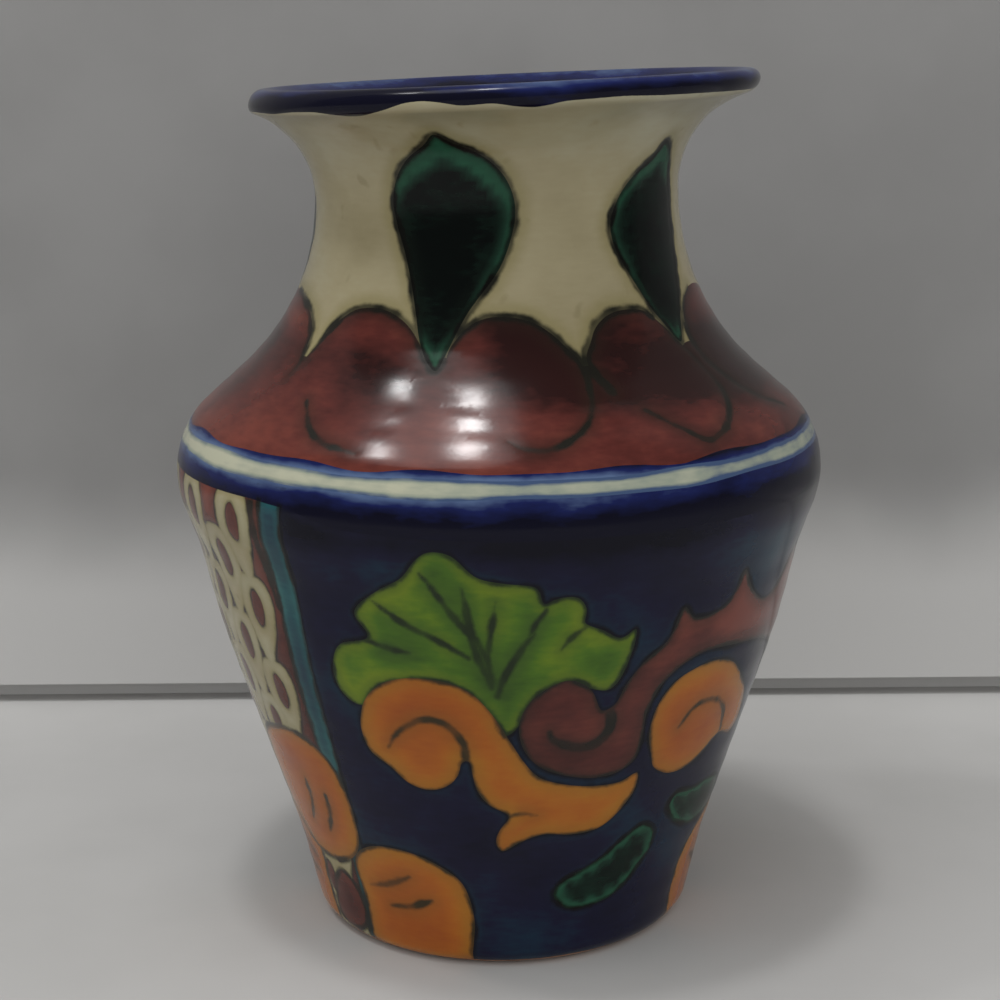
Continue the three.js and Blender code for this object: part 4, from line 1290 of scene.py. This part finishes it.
# %% Bare clay
earth, tree, shader = new_finish("bare_clay")
shader.inputs["Roughness"].default_value = 0.88
sand, patch = cloudy(tree, 0.7, 3.0), cloudy(tree, 12, 2.0)
colour = mixed(tree, stepped(tree, patch, 0.35, 0.65), (0.36, 0.165, 0.085, 1), (0.46, 0.235, 0.13, 1))
colour = mixed(tree, stepped(tree, sand, 0.62, 0.72, 0.0, 0.55), colour, (0.22, 0.1, 0.06, 1))
grain = tree.nodes.new("ShaderNodeBump")
grain.inputs["Strength"].default_value = 0.5
grain.inputs["Distance"].default_value = 0.0002
tree.links.new(colour, shader.inputs["Base Color"])
tree.links.new(sand, grain.inputs["Height"])
tree.links.new(grain.outputs[0], shader.inputs["Normal"])
clay.data.materials.append(earth)
print("finishes in all:", len(glazes) + 1)

# %% [markdown]
# The vase stands on a pale table in front of a grey cloth. The cloth starts a few millimetres above
# the table, with a narrow strip behind it, and that draws the grey line along its foot. Seen from
# behind, the cloth is clear, so that it never hides the vase.

# %% Table and cloth
GAP_FRONT, GAP_BACK, GAP_HEIGHT, CLOTH_WIDTH, CLOTH_TOP = 0.110, 0.116, 0.0045, 3.0, 1.4


def sheet_of(name, width, depth, place):
    sheet = new_plane(name, 1)
    bpy.ops.transform.resize(value=(width, depth, 1))
    bpy.ops.transform.translate(value=place)
    bpy.ops.object.mode_set(mode="OBJECT")
    return sheet


def pull_edge(sheet, chosen, step):
    for corner in sheet.data.vertices:
        corner.select = bool(chosen(corner.co))
    for side in [*sheet.data.edges, *sheet.data.polygons]:
        side.select = all(sheet.data.vertices[i].select for i in side.vertices)
    bpy.ops.object.mode_set(mode="EDIT")
    bpy.ops.mesh.select_mode(type="EDGE")
    bpy.ops.mesh.extrude_region_move(TRANSFORM_OT_translate={"value": step})
    bpy.ops.object.mode_set(mode="OBJECT")


table = sheet_of("pale_table", CLOTH_WIDTH, CLOTH_WIDTH, (0, 0, 0))
gap_middle = (GAP_BACK + GAP_FRONT) / 2
cloth = sheet_of("grey_cloth", CLOTH_WIDTH, GAP_BACK - GAP_FRONT, (0, gap_middle, GAP_HEIGHT))
pull_edge(cloth, lambda place: place.y > gap_middle, (0, 0, -GAP_HEIGHT))
pull_edge(cloth, lambda place: place.y < gap_middle, (0, 0, CLOTH_TOP))
bpy.ops.object.mode_set(mode="EDIT")
bpy.ops.mesh.select_all(action="SELECT")
bpy.ops.mesh.normals_make_consistent(inside=False)
bpy.ops.object.mode_set(mode="OBJECT")
if max(cloth.data.polygons, key=lambda side: side.area).normal.y > 0:
    cloth.data.flip_normals()
print("cloth faces and the way each looks:")
for side in cloth.data.polygons:
    print(round(side.area, 4), [round(way) for way in side.normal])


# %% Finishes of table and cloth
def stage_finish(name, first, second):
    material, tree, shader = new_finish(name)
    shader.inputs["Roughness"].default_value = 0.9
    weave = stepped(tree, cloudy(tree, 60, 4.0), 0.3, 0.7)
    colour = mixed(tree, weave, (*first, 1), (*second, 1))
    tree.links.new(colour, shader.inputs["Base Color"])
    return material, tree, shader, colour


table_finish, *_ = stage_finish("pale_table", (0.43, 0.425, 0.415), (0.47, 0.465, 0.455))
table.data.materials.append(table_finish)
cloth_finish, tree, shader, colour = stage_finish("grey_cloth", (0.245, 0.242, 0.238), (0.28, 0.277, 0.273))
place = tree.nodes.new("ShaderNodeSeparateXYZ")
tree.links.new(tree.nodes.new("ShaderNodeTexCoord").outputs["Object"], place.inputs[0])
# Painted light: the cloth is lighter towards its foot, a painted glow above the table.
painted_glow_height = maths(tree, "ADD", place.outputs["Z"], maths(tree, "MULTIPLY", cloudy(tree, 45, 2.0), 0.02))
colour = mixed(tree, stepped(tree, painted_glow_height, 0.07, 0.035), colour, (0.52, 0.515, 0.505, 1))
tree.links.new(colour, shader.inputs["Base Color"])
clear_back = tree.nodes.new("ShaderNodeMixShader")
tree.links.new(tree.nodes.new("ShaderNodeNewGeometry").outputs["Backfacing"], clear_back.inputs[0])
tree.links.new(shader.outputs[0], clear_back.inputs[1])
tree.links.new(tree.nodes.new("ShaderNodeBsdfTransparent").outputs[0], clear_back.inputs[2])
tree.links.new(clear_back.outputs[0], tree.nodes["Material Output"].inputs["Surface"])
cloth.data.materials.append(cloth_finish)
print("stage finishes: 2")

# %% [markdown]
# The camera stands where the photographer stood: a little above the lip, close in front, looking
# down thirteen degrees. Its distance and lens were worked out from the roundness of the bands.

# %% Camera
CAMERA_PLACE = (0.00085, -0.3507, 0.1564)
LOOK_DOWN, CAMERA_ROLL = math.radians(13.06), math.radians(0.5)
SENSOR, LENS_RATIO = 36, 1.989
bpy.ops.object.camera_add(location=CAMERA_PLACE)
camera = bpy.context.object
camera.data.lens = SENSOR * LENS_RATIO
camera.data.sensor_width = SENSOR
camera.rotation_euler = (math.pi / 2 - LOOK_DOWN, CAMERA_ROLL, 0)
bpy.context.scene.camera = camera
bpy.context.scene.view_settings.view_transform = "Standard"
print("camera lens, mm:", round(camera.data.lens, 2))

# %% [markdown]
# The room light is even, and darker where the glaze mirrors it, as the far side of a room is. One
# lamp hangs almost straight above and gives the bright spot on the shoulder, a small one stands to
# the left, and a broad one gives the soft sheen between them and the round shadow. Each was placed
# by mirroring the line of sight at its spot on the glaze. A row gives that spot, the way from it to
# the lamp, the distance in metres, the lamp's width and its power.

# %% Lamps
ROOM, ROOM_MIRRORED = 1.0, 0.12
world = bpy.data.worlds.new("soft_room")
world.use_nodes = True
path = world.node_tree.nodes.new("ShaderNodeLightPath")
level = world.node_tree.nodes.new("ShaderNodeMapRange")
level.inputs["To Min"].default_value = ROOM
level.inputs["To Max"].default_value = ROOM_MIRRORED
world.node_tree.links.new(path.outputs["Is Glossy Ray"], level.inputs["Value"])
world.node_tree.links.new(level.outputs[0], world.node_tree.nodes["Background"].inputs["Strength"])
world.node_tree.nodes["Background"].inputs["Color"].default_value = (1, 1, 1, 1)
bpy.context.scene.world = world
LAMPS = [
    ("lamp_above", (-0.0042, -0.048, 0.098), (-0.113, -0.118, 0.987), 1.5, 0.16, 4.0),
    ("lamp_left", (-0.0148, -0.0385, 0.1045), (-0.445, -0.045, 0.894), 1.5, 0.12, 1.7),
    ("lamp_broad", (-0.01, -0.045, 0.1), (-0.22, -0.10, 0.97), 1.4, 0.9, 3.9),
]
for name, spot, way, reach, size, power in LAMPS:
    place = [a + reach * b for a, b in zip(spot, way)]
    bpy.ops.object.light_add(type="AREA", location=place)
    lamp = bpy.context.object
    lamp.name = name
    lamp.data.shape = "DISK"
    lamp.data.size = size
    lamp.data.energy = power
    lamp.rotation_euler = (math.acos(way[2]), 0, math.atan2(way[0], -way[1]))
print("lamps:", len(LAMPS))
